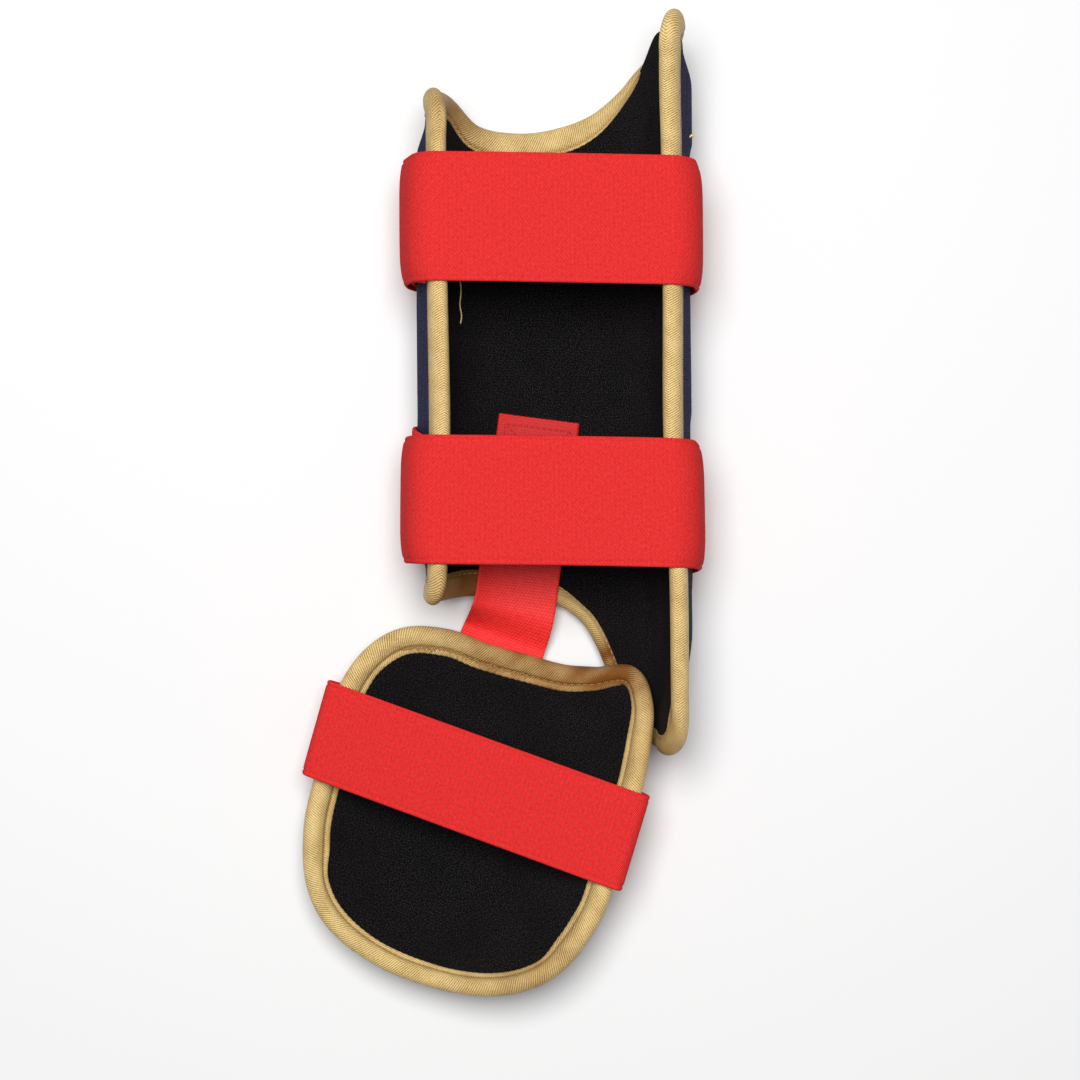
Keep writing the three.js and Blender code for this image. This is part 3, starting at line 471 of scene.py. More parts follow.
# Black brushed pile: short fibres lie in fine rows, catch light as grey specks and look velvety.
def pilePattern(tree, look, place, u, v):
    speck = addNode(tree, "TexNoise", Vector=place, Scale=look["speck"], Detail=1.5, Roughness=0.6)
    patch = addNode(tree, "TexNoise", Vector=place, Scale=0.05, Detail=3.0)
    rows = addNode(tree, "Math", ripple(tree, look["row"], u), 0.05, -2.08, operation="MULTIPLY_ADD")
    fibre = addNode(tree, "Math", speck, 4.2, rows, operation="MULTIPLY_ADD")
    brushed = addNode(tree, "Math", patch, 1.2, 0.3, operation="MULTIPLY_ADD")
    return addNode(tree, "Math", fibre, brushed, operation="MULTIPLY")


# Navy spacer mesh: a knit with small staggered holes over foam.
def meshPattern(tree, look, place, u, v):
    leaned, counter = (ripple(tree, look["cell"], u, v, slant) for slant in (0.55, -0.55))
    knit = addNode(tree, "Math", leaned, counter, operation="MULTIPLY")
    noise = addNode(tree, "TexNoise", Vector=place, Scale=0.9, Detail=3.0, Roughness=0.7)
    rough = addNode(tree, "Math", noise, 1.8, -0.65, operation="MULTIPLY_ADD")
    return addNode(tree, "Math", knit, 0.8, rough, operation="MULTIPLY_ADD")


# Red woven elastic: covered rubber threads make fine ribs across it, broken by a small twill.
def elasticPattern(tree, look, place, u, v):
    twill = ripple(tree, look["rib"], u, v, 0.62)
    dots = ripple(tree, look["rib"] * 0.9, v, u, -0.33)
    woven = addNode(tree, "Math", twill, dots, operation="MULTIPLY")
    blotch = addNode(tree, "TexNoise", Vector=place, Scale=0.8, Detail=5.0, Roughness=0.75)
    rough = addNode(tree, "Math", blotch, 1.2, -0.1, operation="MULTIPLY_ADD")
    ribs = addNode(tree, "Math", ripple(tree, look["rib"] * 2.1, u), 0.03, rough, operation="MULTIPLY_ADD")
    return addNode(tree, "Math", woven, 0.7, ribs, operation="MULTIPLY_ADD")


# Red polypropylene webbing in plain weave: thick rows of yarn with dark pinholes between.
def webbingPattern(tree, look, place, u, v):
    wavy = addNode(tree, "Math", ripple(tree, look["column"], v), 0.2, u, operation="MULTIPLY_ADD")
    rows = addNode(tree, "Math", ripple(tree, look["row"] * 2, wavy), operation="ABSOLUTE")
    over = ripple(tree, look["column"], v, u, 0.5)
    noise = addNode(tree, "TexNoise", Vector=place, Scale=0.5, Detail=4.0)
    rough = addNode(tree, "Math", noise, 0.7, -0.1, operation="MULTIPLY_ADD")
    height = addNode(tree, "Math", rows, 0.5, rough, operation="MULTIPLY_ADD")
    return addNode(tree, "Math", over, 0.16, height, operation="MULTIPLY_ADD")


# Sewing thread: two strands twisted, a little shinier than the cloth.
def threadPattern(tree, look, place, u, v):
    return addNode(tree, "Math", ripple(tree, look["twist"], u, v, 1.0), 0.4, 0.5, operation="MULTIPLY_ADD")


# Red hook tape: rows of tiny hooks on a woven ground.
def hookPattern(tree, look, place, u, v):
    hooks = addNode(tree, "Math", *(ripple(tree, look["hook"], side) for side in (u, v)), operation="MULTIPLY")
    noise = addNode(tree, "TexNoise", Vector=place, Scale=1.1, Detail=3.0)
    rough = addNode(tree, "Math", noise, 0.5, 0.25, operation="MULTIPLY_ADD")
    return addNode(tree, "Math", hooks, 0.4, rough, operation="MULTIPLY_ADD")


# Look of a sewing thread in its two tones
def threadLook(dark, light):
    return {"shader": {"Roughness": 0.5, "Specular IOR Level": 0.4}, "twist": 0.45, "dark": dark, "light": light,
            "relief": 0.05}


# Pitches and relief in millimetres; yarns, rows and hooks are drawn somewhat coarser than real ones, so that
# they show.
# The tape's brown tone is painted shade, laid on where the piece's attribute says so.
tape = clothMaterial("polyester herringbone tape", {
    "shader": {"Roughness": 0.5, "Specular IOR Level": 0.35}, "rib": 0.95, "yarn": 0.62, "slant": 0.55,
    "dark": "#8A6225", "light": "#EDD18F", "relief": 0.24, "paintedShadeTone": "#A07340"}, tapePattern)
pile = clothMaterial("brushed polyester pile", {
    "shader": {"Roughness": 0.92, "Sheen Weight": 0.04, "Sheen Roughness": 0.45, "Sheen Tint": linear("#8A8488"),
               "Specular IOR Level": 0.1},
    "row": 1.2, "speck": 2.2, "dark": "#020202", "light": "#3C373A", "relief": 0.2}, pilePattern)
mesh = clothMaterial("polyester spacer mesh", {
    "shader": {"Roughness": 0.8, "Specular IOR Level": 0.12}, "cell": 1.5,
    "dark": "#05060F", "light": "#3E4274", "relief": 0.25}, meshPattern)
elastic = clothMaterial("woven elastic", {
    "shader": {"Roughness": 0.8, "Specular IOR Level": 0.03}, "rib": 0.8,
    "dark": "#A20A12", "light": "#FB4340", "relief": 0.12}, elasticPattern)
# The webbing's darker tone is painted shade, laid on where the piece's attribute says so.
webbingCloth = clothMaterial("polypropylene webbing", {
    "shader": {"Roughness": 0.6, "Specular IOR Level": 0.2}, "row": 1.15, "column": 1.3,
    "dark": "#C01018", "light": "#FF3C38", "relief": 0.07, "paintedShadeTone": "#CF9A9E"}, webbingPattern)
goldThread = clothMaterial("gold sewing thread", threadLook("#C3A05E", "#F6E3AE"), threadPattern)
tapeThread = clothMaterial("tape sewing thread", threadLook("#9A743A", "#D9B878"), threadPattern)
brownThread = clothMaterial("brown sewing thread", threadLook("#6F4A22", "#BE9556"), threadPattern)
redThread = clothMaterial("red sewing thread", threadLook("#8E1016", "#D92F33"), threadPattern)
hookTape = clothMaterial("nylon hook tape", {
    "shader": {"Roughness": 0.45, "Specular IOR Level": 0.5}, "hook": 1.3,
    "dark": "#4A070B", "light": "#B31A20", "relief": 0.5}, hookPattern)
print("materials ready")


# Where the binding's seam pinches the layers: full under it, nothing past its margin
def pinchAt(fromEdge):
    return cloth["pinch"] * (1 - smooth(fromEdge, cloth["bindingReach"], cloth["bindingMargin"]))


# Thickness of the padding by the distance from its cut edge: thin in the binding, full past the taper
def padAt(fromEdge):
    full = cloth["pad"] - cloth["padEdge"]
    return cloth["padEdge"] - pinchAt(fromEdge) + full * smooth(fromEdge, bindingInset, cloth["padTaper"])


# A lining: a slab from the seam to its inner face, which the binding pinches and a relief lifts
def makeLining(part, point, across, along, edge, relief):
    over = point(across, along, liningInner + pinchAt(edge) + relief)
    under = point(across, along, -seamOffset)
    makePiece(part + "Lining", *slab(over, under, along, across), pile, "lining_pile", [part + "_lining"])


# A shell: a slab from the seam to the outside of the padding and its swelling
def makeShell(part, point, across, along, edge, swell):
    over = point(across, along, seamOffset)
    under = point(across, along, seamOffset + padAt(edge) + swell)
    piece = makePiece(part + "Shell", *slab(over, under, along, across), mesh, "shell_mesh", [part + "_shell"])


shinPanel = {
    "columns": 110, "rows": 210, "rollGrowth": 1.9, "unevenness": 0.35, "most": 1.2,
    # across as a share of the half section, depth and width of the crease
    "creases": [(-0.47, 1.3, 2.2), (0.49, 1.2, 2.4), (-0.66, 0.5, 3.5), (0.7, 0.5, 3.5)],
    "bulge": 0.9, "sideBulge": 2.4, "kneeBulge": 1.3, "ankleThin": 2.4,
    # from the edge to where relief and swelling start, and the width in which they grow
    "relief": (8, 14), "swelling": (10, 26), "wall": (0.4, 0.2),
}
# Place of each shin strap along the leg, its skew, and how far from its middle it holds the shell flat
shinStraps = {"upper": (145, 2.4, 26.5), "lower": (35.7, 5.7, 29.5)}


# How far the tape's flange narrows, and how far the edge rolls over to the outside, as shares:
# along the knee edge below its long horn, and along the long half of the ankle edge
def rolledAt(across, along):
    share = across / panelHalf
    knee = along > trough["shortSide"] / 2
    back = 1 - smooth(share, 0.8, 0.1)
    tip = (1 - 0.45 * smooth(share, 0.32, 0.12)) * (1 - smooth(share, 0.9, 0.08))
    narrowed = np.where(knee, smooth(share, 0.02, 0.42) * back, 0.85 * smooth(share, -0.2, 0.34) * tip)
    return narrowed, np.where(knee, smooth(share, 0.36, 0.16) * back, 0)


# Grid between the ankle and the knee edge, grown a little where the knee edge rolls; and distance to the edge
def shinGrid():
    across = acrossStations(shinPanel["columns"])
    low, high = ankleAt(across), kneeAt(across)
    growth = rolledAt(across, high)[1] * (1 - smooth(across / panelHalf, 0.52, 0.1))
    high = high + shinPanel["rollGrowth"] * growth
    along = low[:, None] + (high - low)[:, None] * np.linspace(0, 1, shinPanel["rows"])[None]
    across = np.repeat(across[:, None], shinPanel["rows"], 1)
    return across, along, distanceTo(shinLoop(2.0)[0], stacked(across, along))


# The inner face folds into creases along the leg where the panel turns up into its walls: each is a
# bell-shaped ridge, less a fainter bell to both sides of it.
def shinRelief(across, along, edge):
    relief = shinPanel["unevenness"] * uneven(across, along, 42, 3)
    for share, depth, width in shinPanel["creases"]:
        line = share * panelHalf + 1.4 * uneven(along, 0, 150, int(100 + 90 * share))
        away = (across - line) / width
        fold = 0.75 + 0.25 * uneven(along, 0, 90, int(300 + 90 * share))
        relief = relief + depth * fold * (np.exp(-away ** 2) - 0.45 * np.exp(-(np.abs(away) - 1.6) ** 2))
    return np.minimum(relief * smooth(edge, *shinPanel["relief"]), shinPanel["most"])


# The foam swells between the straps that hold it, and all along the wall of the short side; on the long
# side it swells at the knee and thins at the ankle.
def shinSwell(across, along, edge):
    held = sum(1 - smooth(np.abs(along - place), reach, 7) for place, _, reach in shinStraps.values())
    free = 1 - np.clip(held, 0, 1)
    short, long = (smooth(side * across / panelHalf, *shinPanel["wall"]) for side in (-1, 1))
    swell = shinPanel["bulge"] * (1 - short) + shinPanel["kneeBulge"] * long * smooth(along, 160, 20)
    swell = swell - shinPanel["ankleThin"] * long * smooth(-along, -20, 20)
    swell = smooth(edge, *shinPanel["swelling"]) * (swell * free + shinPanel["sideBulge"] * short)
    return swell + 0.25 * smooth(edge, *shinPanel["relief"]) * free * uneven(across, along, 48, 11)


footPanel = {"count": 150, "unevenness": 0.3, "most": 1.0, "bulge": 0.8, "relief": (8, 14), "swelling": (10, 22)}


# A square grid drawn out to the cup's outline: its squares become rings without a pole.
def footGrid():
    count = footPanel["count"]
    p, q = np.meshgrid(np.linspace(-1, 1, count), np.linspace(-1, 1, count), indexing="ij")
    reach = np.maximum(np.abs(p), np.abs(q))
    wide = np.abs(p) >= np.abs(q)
    ratio = np.where(wide, q / np.where(p == 0, 1, p), p / np.where(q == 0, 1, q))
    angle = np.where(wide, np.where(p >= 0, 0, 180) + 45 * ratio, np.where(q >= 0, 90, 270) - 45 * ratio)
    place = footEdge(angle) * reach[..., None]
    a, b = place[..., 0], place[..., 1]
    loop = evenly(footEdge(-np.linspace(0, 360, 721)[:-1]), 2.0)[0]
    slopeA, slopeB = footSlopes(a, b)
    return a, b, distanceTo(loop, place) * np.sqrt(1 + 0.6 * (slopeA ** 2 + slopeB ** 2))


# Faint unevenness of the cup's inner face, none at its edge
def footRelief(a, b, edge):
    relief = footPanel["unevenness"] * uneven(a, b, 40, 5)
    return smooth(edge, *footPanel["relief"]) * np.minimum(relief, footPanel["most"])


# The cup's foam swells on both sides of the strap: a bell to the fourth power holds it flat
def footSwell(a, b, edge):
    held = np.exp(-((b - cup["strapPlace"]) / (cup["strapWidth"] / 2 - 0.5)) ** 4)
    return footPanel["bulge"] * smooth(edge, *footPanel["swelling"]) * (1 - held)


shinParts, footParts = shinGrid(), footGrid()
makeLining("shin", shinPoint, *shinParts, shinRelief(*shinParts))
makeShell("shin", shinPoint, *shinParts, shinSwell(*shinParts))
makeLining("foot", footPoint, *footParts, footRelief(*footParts))
makeShell("foot", footPoint, *footParts, footSwell(*footParts))
print("panels ready")


binding = {
    "step": 0.62, "stitch": 2.6, "scallop": 0.28, "reach": 7.2, "rollOut": 4.2, "rollIn": 3.0, "horns": (0.8, 1.2),
    "layers": 2.4, "rib": 1.05,
    "shin": {"nose": 3.5, "groove": 5.6, "thread": tapeThread},
    "foot": {"nose": 3.85, "groove": 4.1, "thread": brownThread},
    # share of the way from the groove to the rim, height above the layers
    "lip": [(1, 0.12), (0.97, 0.32), (0.85, 0.5), (0.5, 0.58), (0.25, 0.42), (0.1, 0.18), (0, 0)],
    # share of the way from the groove to the nose, share of the nose's height above the layers
    "tube": [(0.12, 0.3), (0.3, 0.62), (0.55, 0.86), (1, 0.98)],
    # painted brown shade on the tape where it lies in shadow: place, radius, amount
    "paintedShadePatches": [
        (25, -31, 13, 0.8), (-37, 195, 13, 0.75), (-30, 4, 12, 1.2), (-20, -30, 26, 0.65), (12, -40, 16, 0.15),
        (-10, -148, 22, 0.4), (43, -64, 11, 0.5), (8, -31, 14, 0.35), (30, 214, 9, 0.4), (37, -38, 8, 0.3),
    ],
}


# Section of the tape: the flange with its stitched groove, round the nose, and the flange on the far side;
# then back inside, one wall away. It gives outward, out, the place across the tape and what is in the groove.
def tapeSection(nose, groove):
    lip, tube = np.array(binding["lip"]), np.array(binding["tube"])
    reach = binding["reach"]
    inwards = np.r_[groove + lip[:, 0] * (reach - groove), groove - tube[:, 0] * (groove - 1)]
    height = binding["layers"] + np.r_[lip[:, 1], tube[:, 1] * (nose - binding["layers"])]
    flange = np.stack([-inwards, noseMiddle - height], 1)
    turn = np.radians(np.linspace(-90, 90, 17))
    front = np.stack([-noseBack + noseRadius * np.cos(turn), noseMiddle + nose * np.sin(turn)], 1)
    far = flange[::-1] * [1, -1] + [0, 2 * noseMiddle]
    outside = np.concatenate([flange, front, far])
    top = seamOffset + cloth["padEdge"] - cloth["pinch"] + 0.1
    bottom = liningInner + cloth["pinch"] - 0.08
    inside = np.array([(-reach, top), (-4, top), (0.45, top), (0.45, bottom), (-4, bottom), (-reach, bottom)])
    points = np.concatenate([outside, inside])
    across = walked(outside) - walked(outside)[-1] / 2
    sunk = np.exp(-((-points[:, 0] - groove) / 0.5) ** 2)
    sunk[len(outside):] = 0
    sunk[len(flange):-len(far) - len(inside)] = 0
    return points, np.r_[across, across[-1] + walked(np.vstack([outside[-1:], inside, outside[:1]]))[1:]], sunk


# Painted brown shade: bells round their places, with uneven borders
def paintedShadeAt(points):
    x, y = points[..., 0], points[..., 1]
    total = sum(amount * np.exp(-((x - a) ** 2 + (y - b) ** 2) / radius ** 2)
                for a, b, radius, amount in binding["paintedShadePatches"])
    return np.clip(total * (1 + 0.2 * uneven(x, y, 9, 41)), 0, 1)


# The tape carried round an edge; its two inner rims are drawn in a little at each stitch.
def bandRound(loop, length, place, nose, groove):
    points, across, sunk = tapeSection(nose, groove)
    u = np.arange(len(loop) + 1) * length / len(loop)
    count = round(length / binding["stitch"])
    pull = 0.5 + 0.5 * np.cos(2 * np.pi * count * u[:-1, None] / length)
    rim = (np.arange(len(points)) < 3)[None]
    outward = points[None, :, 0] + binding["scallop"] * rim * pull + 0.18 * rim * uneven(u[:-1, None], 0, 17, 8)
    inSide = np.where(points[:, 1] < noseMiddle, 1, -1)
    out = points[None, :, 1] + 0.22 * (sunk * inSide)[None] * (pull - 0.5)
    ribs = round(length / binding["rib"]) * binding["rib"] / length
    rings = place(loop, loopNormals(loop), outward, out)
    # Painted shade: the brown patches, and the stitched groove darkened where it lies in shadow.
    paintedShade = np.clip(paintedShadeAt(rings) + 0.95 * sunk[None] * (0.6 + 0.4 * pull), 0, 1)
    return sweep(rings, u * ribs, across, closed=True), paintedShade.ravel()


# On the shin the tape rolls to the outside below the long horn, and stands out at both horns.
def onShin(loop, normals, outward, out):
    narrowed, rolled = (value[:, None] for value in rolledAt(loop[:, 0], loop[:, 1]))
    share = np.abs(loop[:, :1]) / panelHalf
    horn = smooth(share, 0.86, 0.08) * smooth(loop[:, 1:] - kneeAt(loop[:, :1]), -8, 6)
    horn = horn * np.where(loop[:, :1] > 0, binding["horns"][1], binding["horns"][0])
    tip = smooth(outward, -2, 4)
    outward = outward * (1 - 0.86 * narrowed * (1 - tip)) + tip * (horn - binding["rollIn"] * rolled)
    face = noseMiddle + binding["shin"]["nose"]
    out = out + binding["rollOut"] * rolled * (face - out) / (2 * binding["shin"]["nose"])
    return shinPoint(loop[:, :1] + normals[:, :1] * outward, loop[:, 1:] + normals[:, 1:] * outward, out)


# On the cup the flange narrows along the toe and round the collar's long corner.
def onCup(loop, normals, outward, out):
    toe = smooth(-loop[:, 1], 38, 14)
    corner = np.exp(-((loop[:, 0] - 48) / 17) ** 2 - ((loop[:, 1] - 64) / 17) ** 2)
    narrow = (0.3 * toe + 0.4 * corner)[:, None] * (1 - smooth(outward, -2, 2))
    outward = outward * (1 - narrow) * slopeShare(loop, normals)[:, None]
    return footPoint(loop[:, :1] + normals[:, :1] * outward, loop[:, 1:] + normals[:, 1:] * outward, out)


# One stitch: a short thread, thick in the middle and drawn into the cloth at its ends.
def stitchShape(length=2.1, width=0.26):
    x = np.array([-0.5, -0.38, 0, 0.38, 0.5]) * length
    size = np.array([0.35, 0.8, 1, 0.8, 0.35])[:, None] * width
    height = np.array([-0.3, -0.05, 0.08, -0.05, -0.3])[:, None]
    turn = np.linspace(0, 2 * np.pi, 6, endpoint=False)
    rings = stacked(x[:, None], size * np.cos(turn), size * np.sin(turn) + height)
    return sweep(rings, x, np.linspace(0, 1.6, 7))[:2]


# A row of stitches at one distance inwards on one face of an edge
def seamRound(loop, length, place, inwards, out):
    count = round(length / binding["stitch"])
    ends = np.linspace(0, len(loop), count, endpoint=False)
    at = stacked(*(np.interp(ends, np.arange(len(loop) + 1), np.r_[c, c[:1]]) for c in loop.T))
    normals = loopNormals(loop)[np.round(ends).astype(int) % len(loop)]
    centre, outer = (place(at, normals, np.array([[step - inwards]]), np.array([[out]]))[:, 0] for step in (0, 1))
    across = unit(outer - centre)
    along = np.roll(centre, -1, axis=0) - np.roll(centre, 1, axis=0)
    along = unit(along - across * (along * across).sum(1, keepdims=True))
    return copies(*stitchShape(), centre, along, across, np.cross(along, across))


# The tape round one panel, and its seams on both faces
def makeBinding(part, loop, length, place):
    look = binding[part]
    made, paintedShade = bandRound(loop, length, place, look["nose"], look["groove"])
    makePiece(part + "Binding", *made, tape, "binding_tape", [part + "_binding"], paintedShade)
    deep = binding["layers"] + 0.1
    rows = [seamRound(loop, length, place, look["groove"], noseMiddle + side * deep) for side in (-1, 1)]
    makePiece(part + "Seam", *joined(rows), look["thread"], "binding_tape")


makeBinding("shin", *shinLoop(binding["step"]), onShin)
makeBinding("foot", *evenly(footEdge(-np.linspace(0, 360, 1441)[:-1]), binding["step"]), onCup)
print("binding ready")


straps = {
    "shinWidth": 50, "footWidth": cup["strapWidth"], "bend": 3.2, "tilt": 1, "lapSlack": 1.8, "looseSlack": 2.9,
    # how far the shoulders stand out beyond the lips, left and right, and their radius
    "shoulders": (2.5, 2.2), "shoulder": 12, "tight": 1.9, "air": 0.3,
    "shinLap": 38, "footLap": 24, "hookInset": 5, "wallTop": 0.8, "wallFoot": 0.42,
    # share of the strap's length, skew and tilt as shares of its own
    "turns": [
        (0, 0.1, 0), (0.012, 0.35, 0), (0.024, 0.55, 0), (0.14, 1, 0), (0.34, -1, 0), (0.52, 0, -1),
        (0.8, 0, 1), (1, 0, 1),
    ],
    # across the width from the edge, thickness lost: a round edge and the groove inside the selvage
    "selvage": [(0, 0.72), (0.25, 0.3), (0.7, 0.08), (1.2, 0.05), (1.6, 0.34), (2.0, 0.3), (2.5, 0.04), (3.2, 0)],
}
strapOut = padOuter + cloth["gap"] + cloth["strap"] / 2
hookOut = strapOut + cloth["strap"] / 2 + cloth["gap"]
lapOut = hookOut + cloth["hook"] + cloth["gap"] + cloth["strap"] / 2
wallTop = straps["wallTop"] * panelHalf
wallFoot = straps["wallFoot"] * panelHalf
lipX, lipZ = sectionAt(panelHalf - noseBack)[:2]
overLip = noseRadius + cloth["gap"] + cloth["strap"] / 2
strapTop = floorHeight + lipZ + overLip
strapCorner = lipX + noseMiddle + overLip


# Lines through corners that are rounded by arcs; every corner is one point for each edge of a strap.
def roundedPath(corners, radii, steps=10, straight=48):
    parts = [corners[0][:, None]]
    for i, radius in enumerate(radii, 1):
        at = corners[i]
        before, after = unit(corners[i - 1] - at), unit(corners[i + 1] - at)
        opening = np.arccos(np.clip((before * after).sum(1), -1, 1))
        centre = at + unit(before + after) * (radius / np.sin(opening / 2))[:, None]
        start = at + before * (radius / np.tan(opening / 2))[:, None] - centre
        sign = -np.sign(before[:, 0] * after[:, 1] - before[:, 1] * after[:, 0])
        angle = (sign * (np.pi - opening))[:, None] * np.linspace(0, 1, steps + 1)[None]
        x = start[:, :1] * np.cos(angle) - start[:, 1:] * np.sin(angle)
        y = start[:, :1] * np.sin(angle) + start[:, 1:] * np.cos(angle)
        arc = stacked(x, y) + centre[:, None]
        last = parts[-1][:, -1:]
        share = np.linspace(0, 1, straight + 1)[1:-1][None, :, None]
        parts += [last + (arc[:, :1] - last) * share, arc]
    last = parts[-1][:, -1:]
    share = np.linspace(0, 1, 8)[1:-1][None, :, None]
    parts.append(last + (corners[-1][:, None] - last) * share)
    return np.concatenate(parts, 1)


# Section of a flat band: width from -1 to 1 and height about its middle, with less thickness by the table
# near both edges; and the place across it.
def flatSection(lost, width, thickness, columns):
    edge, less = np.array(lost, float).T
    middle = np.linspace(edge[-1], width - edge[-1], columns)[1:-1]
    across = np.concatenate([edge, middle, (width - edge)[::-1]])
    half = thickness / 2 - np.concatenate([less, 0 * middle, less[::-1]])
    side = 2 * across / width - 1
    points = np.concatenate([stacked(side, half), stacked(side, -half)[::-1]])
    return points, np.concatenate([across, across[::-1], across[:1]])


# A flat band between two edge lines, as a closed section carried along them.
def band(edges, width, place):
    points, v = flatSection(straps["selvage"], width, cloth["strap"], 26)
    share = (points[:, 0] + 1) / 2
    line = edges[0][:, None] * (1 - share)[None, :, None] + edges[1][:, None] * share[None, :, None]
    step = unit(np.gradient(line, axis=0))
    length = walked(edges.mean(0))
    print("strap of", round(float(length[-1])), "mm")
    line = line + stacked(step[..., 1], -step[..., 0]) * points[None, :, 1:]
    rings = place(line[..., 0], line[..., 1], points[None, :, 0] * width / 2, (length / length[-1])[:, None])
    return sweep(rings, length, v - width / 2)


# How far the wall of the short side pushes its strap out: the shell's swelling there, and a little air
def wallSlack(across):
    short = smooth(-across / panelHalf, *shinPanel["wall"]) * smooth(panelHalf + across, *shinPanel["swelling"])
    return (shinPanel["sideBulge"] + straps["air"]) * short


# A shin strap: up the inner layer of the lap, under the shin, up the long side, over and down the lap.
# Its upper corners are drawn in at both edges, by the fifth power of the place across it.
def shinStrap(part):
    height, skew = shinStraps[part][:2]
    along = height + np.array([-0.5, 0.5])[:, None] * straps["shinWidth"]

    def hug(across, out):
        return shinPoint(across[None], along, out[None])[..., [0, 2]]

    def rise(across):
        return smooth(np.abs(across), wallFoot, wallTop - wallFoot)

    across = np.linspace(-wallTop, wallTop, 150)
    slack = np.where(across > 0, straps["looseSlack"] * rise(across), wallSlack(across))
    under = hug(across, strapOut + slack)
    down = np.linspace(-wallTop, straps["shinLap"] - wallTop, 34)
    lap = hug(down, lapOut + np.hypot(straps["lapSlack"] * rise(down), wallSlack(down)))
    left, right = (np.array([[side * (strapCorner + out), strapTop]] * 2)
                   for side, out in zip((-1, 1), straps["shoulders"]))
    over = roundedPath([under[:, -1], right, left, lap[:, 0]], [straps["shoulder"]] * 2, steps=16)
    turn = np.radians(np.linspace(40, 100, 14))
    middle = left + [straps["shoulder"] * 0.79, -straps["shoulder"]]
    inside = straps["shoulder"] - cloth["strap"] - cloth["gap"]
    start = middle[:, None] + inside * stacked(-np.sin(turn), np.cos(turn))[None]
    joining = np.linspace(0, 1, 9)[1:-1, None]
    start = np.concatenate([start, start[:, -1:] * (1 - joining) + under[:, :1] * joining], 1)
    edges = np.concatenate([start, under, over[:, 1:], lap], 1)
    tilt = strapCorner * np.tan(np.radians(straps["tilt"]))

    def place(x, z, offset, share):
        shift = skew * tableAt(straps["turns"], share, 1) + tilt * tableAt(straps["turns"], share, 2)
        slack = np.where(z > strapTop - 4, 0.12 * uneven(x, offset, 33, int(height)), 0)
        free = np.where(x > 0, 1, np.maximum(smooth(z, strapTop - 16, 8), smooth(share, 0.8, 0.04)))
        tight = straps["tight"] * smooth(np.abs(x), strapCorner - 8, 9) * free
        x = x - np.sign(x) * tight * np.abs(2 * offset / straps["shinWidth"]) ** 5
        return stacked(x, height + offset + shift, z + slack)

    makePiece(part + "Strap", *band(edges, straps["shinWidth"], place), elastic, "elastic", [part + "_strap"])


# Place across the cup where its rim is at one height b, found by halving
def rimAt(b, side):
    low = np.full(np.shape(b), -90.0 if side > 0 else 90.0)
    high = low + 180
    for _ in range(40):
        middle = (low + high) / 2
        below = (footEdge(middle)[..., 1] < b) == (side > 0)
        low, high = np.where(below, middle, low), np.where(below, high, middle)
    return footEdge((low + high) / 2)[..., 0]


# A point of the cup's section at one b, with out measured square to the section's own curve
def cupSection(a, b, out):
    slope = footSlopes(a, b)[0]
    size = np.hypot(slope, 1)
    return stacked(a + out * slope / size, footHeight(a, b) - out / size)


# From the section's plane to the guard's own place
def cupPlace(a, z, offset, share):
    x, y = turned(a, cup["strapPlace"] + offset)
    return stacked(x, y, z)


# The foot strap: from the inner layer of the lap, under the cup, up the short side, over and down the lap.
def footStrap():
    half = straps["footWidth"] / 2
    b = cup["strapPlace"] + np.array([-half, half])
    long, short = rimAt(b, 1) - bindingInset, rimAt(b, -1) + bindingInset
    start = (long - straps["hookInset"])[:, None]
    share = np.linspace(1, 0, 90)[None]
    under = cupSection(short[:, None] + (start - short[:, None]) * share, b[:, None], strapOut)
    wrap = binding["foot"]["nose"] + cloth["gap"] + cloth["strap"] / 2

    # low and high corner round the rim, set out to the furthest point that the rim reaches under the strap
    def rim(side):
        between = np.linspace(0, 1, 9)[1:-1]
        ends = rimAt(b, side)
        bulge = side * (rimAt(b[0] + (b[1] - b[0]) * between, side) - ends[0] - (ends[1] - ends[0]) * between)
        a = ends + side * (max(0, bulge.max()) - noseBack)
        centre = cupSection(a, b, noseMiddle)
        below = cupSection(a, b, noseMiddle + wrap) - centre
        outward = side * stacked(-below[:, 1], below[:, 0])
        low, high = centre + below + outward, centre - below + outward
        return low, stacked(low[:, 0] - side * 0.8, high[:, 1])

    shortLow, shortHigh = rim(-1)
    longLow, longHigh = rim(1)
    lap = cupSection(long[:, None] - straps["footLap"] * np.linspace(0, 1, 16)[None], b[:, None], lapOut)
    over = roundedPath([under[:, -1], shortLow, shortHigh, longHigh, longLow, lap[:, 0]],
                       [wrap, straps["bend"], straps["bend"], wrap], straight=24)
    edges = np.concatenate([under, over[:, 1:], lap], 1)
    makePiece("footStrap", *band(edges, straps["footWidth"], cupPlace), elastic, "elastic", ["foot_strap"])


for part in shinStraps:
    shinStrap(part)
footStrap()
print("straps ready")


# A hook patch between the layers of a lap: a slab whose rim is thinner than its middle.
def hookPatch(part, rows, place):
    side = np.linspace(-1, 1, 24)[None]
    row = np.linspace(0, 1, rows)[:, None]
    fromRim = np.minimum(np.minimum(row, 1 - row) * 20, (1 - np.abs(side)) * 20)
    half = cloth["hook"] / 2 * (0.55 + 0.45 * smooth(fromRim))
    middle = hookOut + cloth["hook"] / 2
    made = slab(place(row, side, middle - half), place(row, side, middle + half), row * 30, side * 20)
    makePiece(part + "Closure", *made, hookTape, "hook_and_loop", [part + "_closure"])


# The patch on the outside of the trough's wall, out as far as the strap is pushed
def shinHook(part):
    height, skew = shinStraps[part][:2]
    half = straps["shinWidth"] / 2 - straps["hookInset"]

    def place(row, side, out):
        across = straps["hookInset"] - wallTop + row * (straps["shinLap"] - 2 * straps["hookInset"])
        return shinPoint(across, height + side * half, out + wallSlack(across)) + [0, skew / 2, 0]

    hookPatch(part, 26, place)


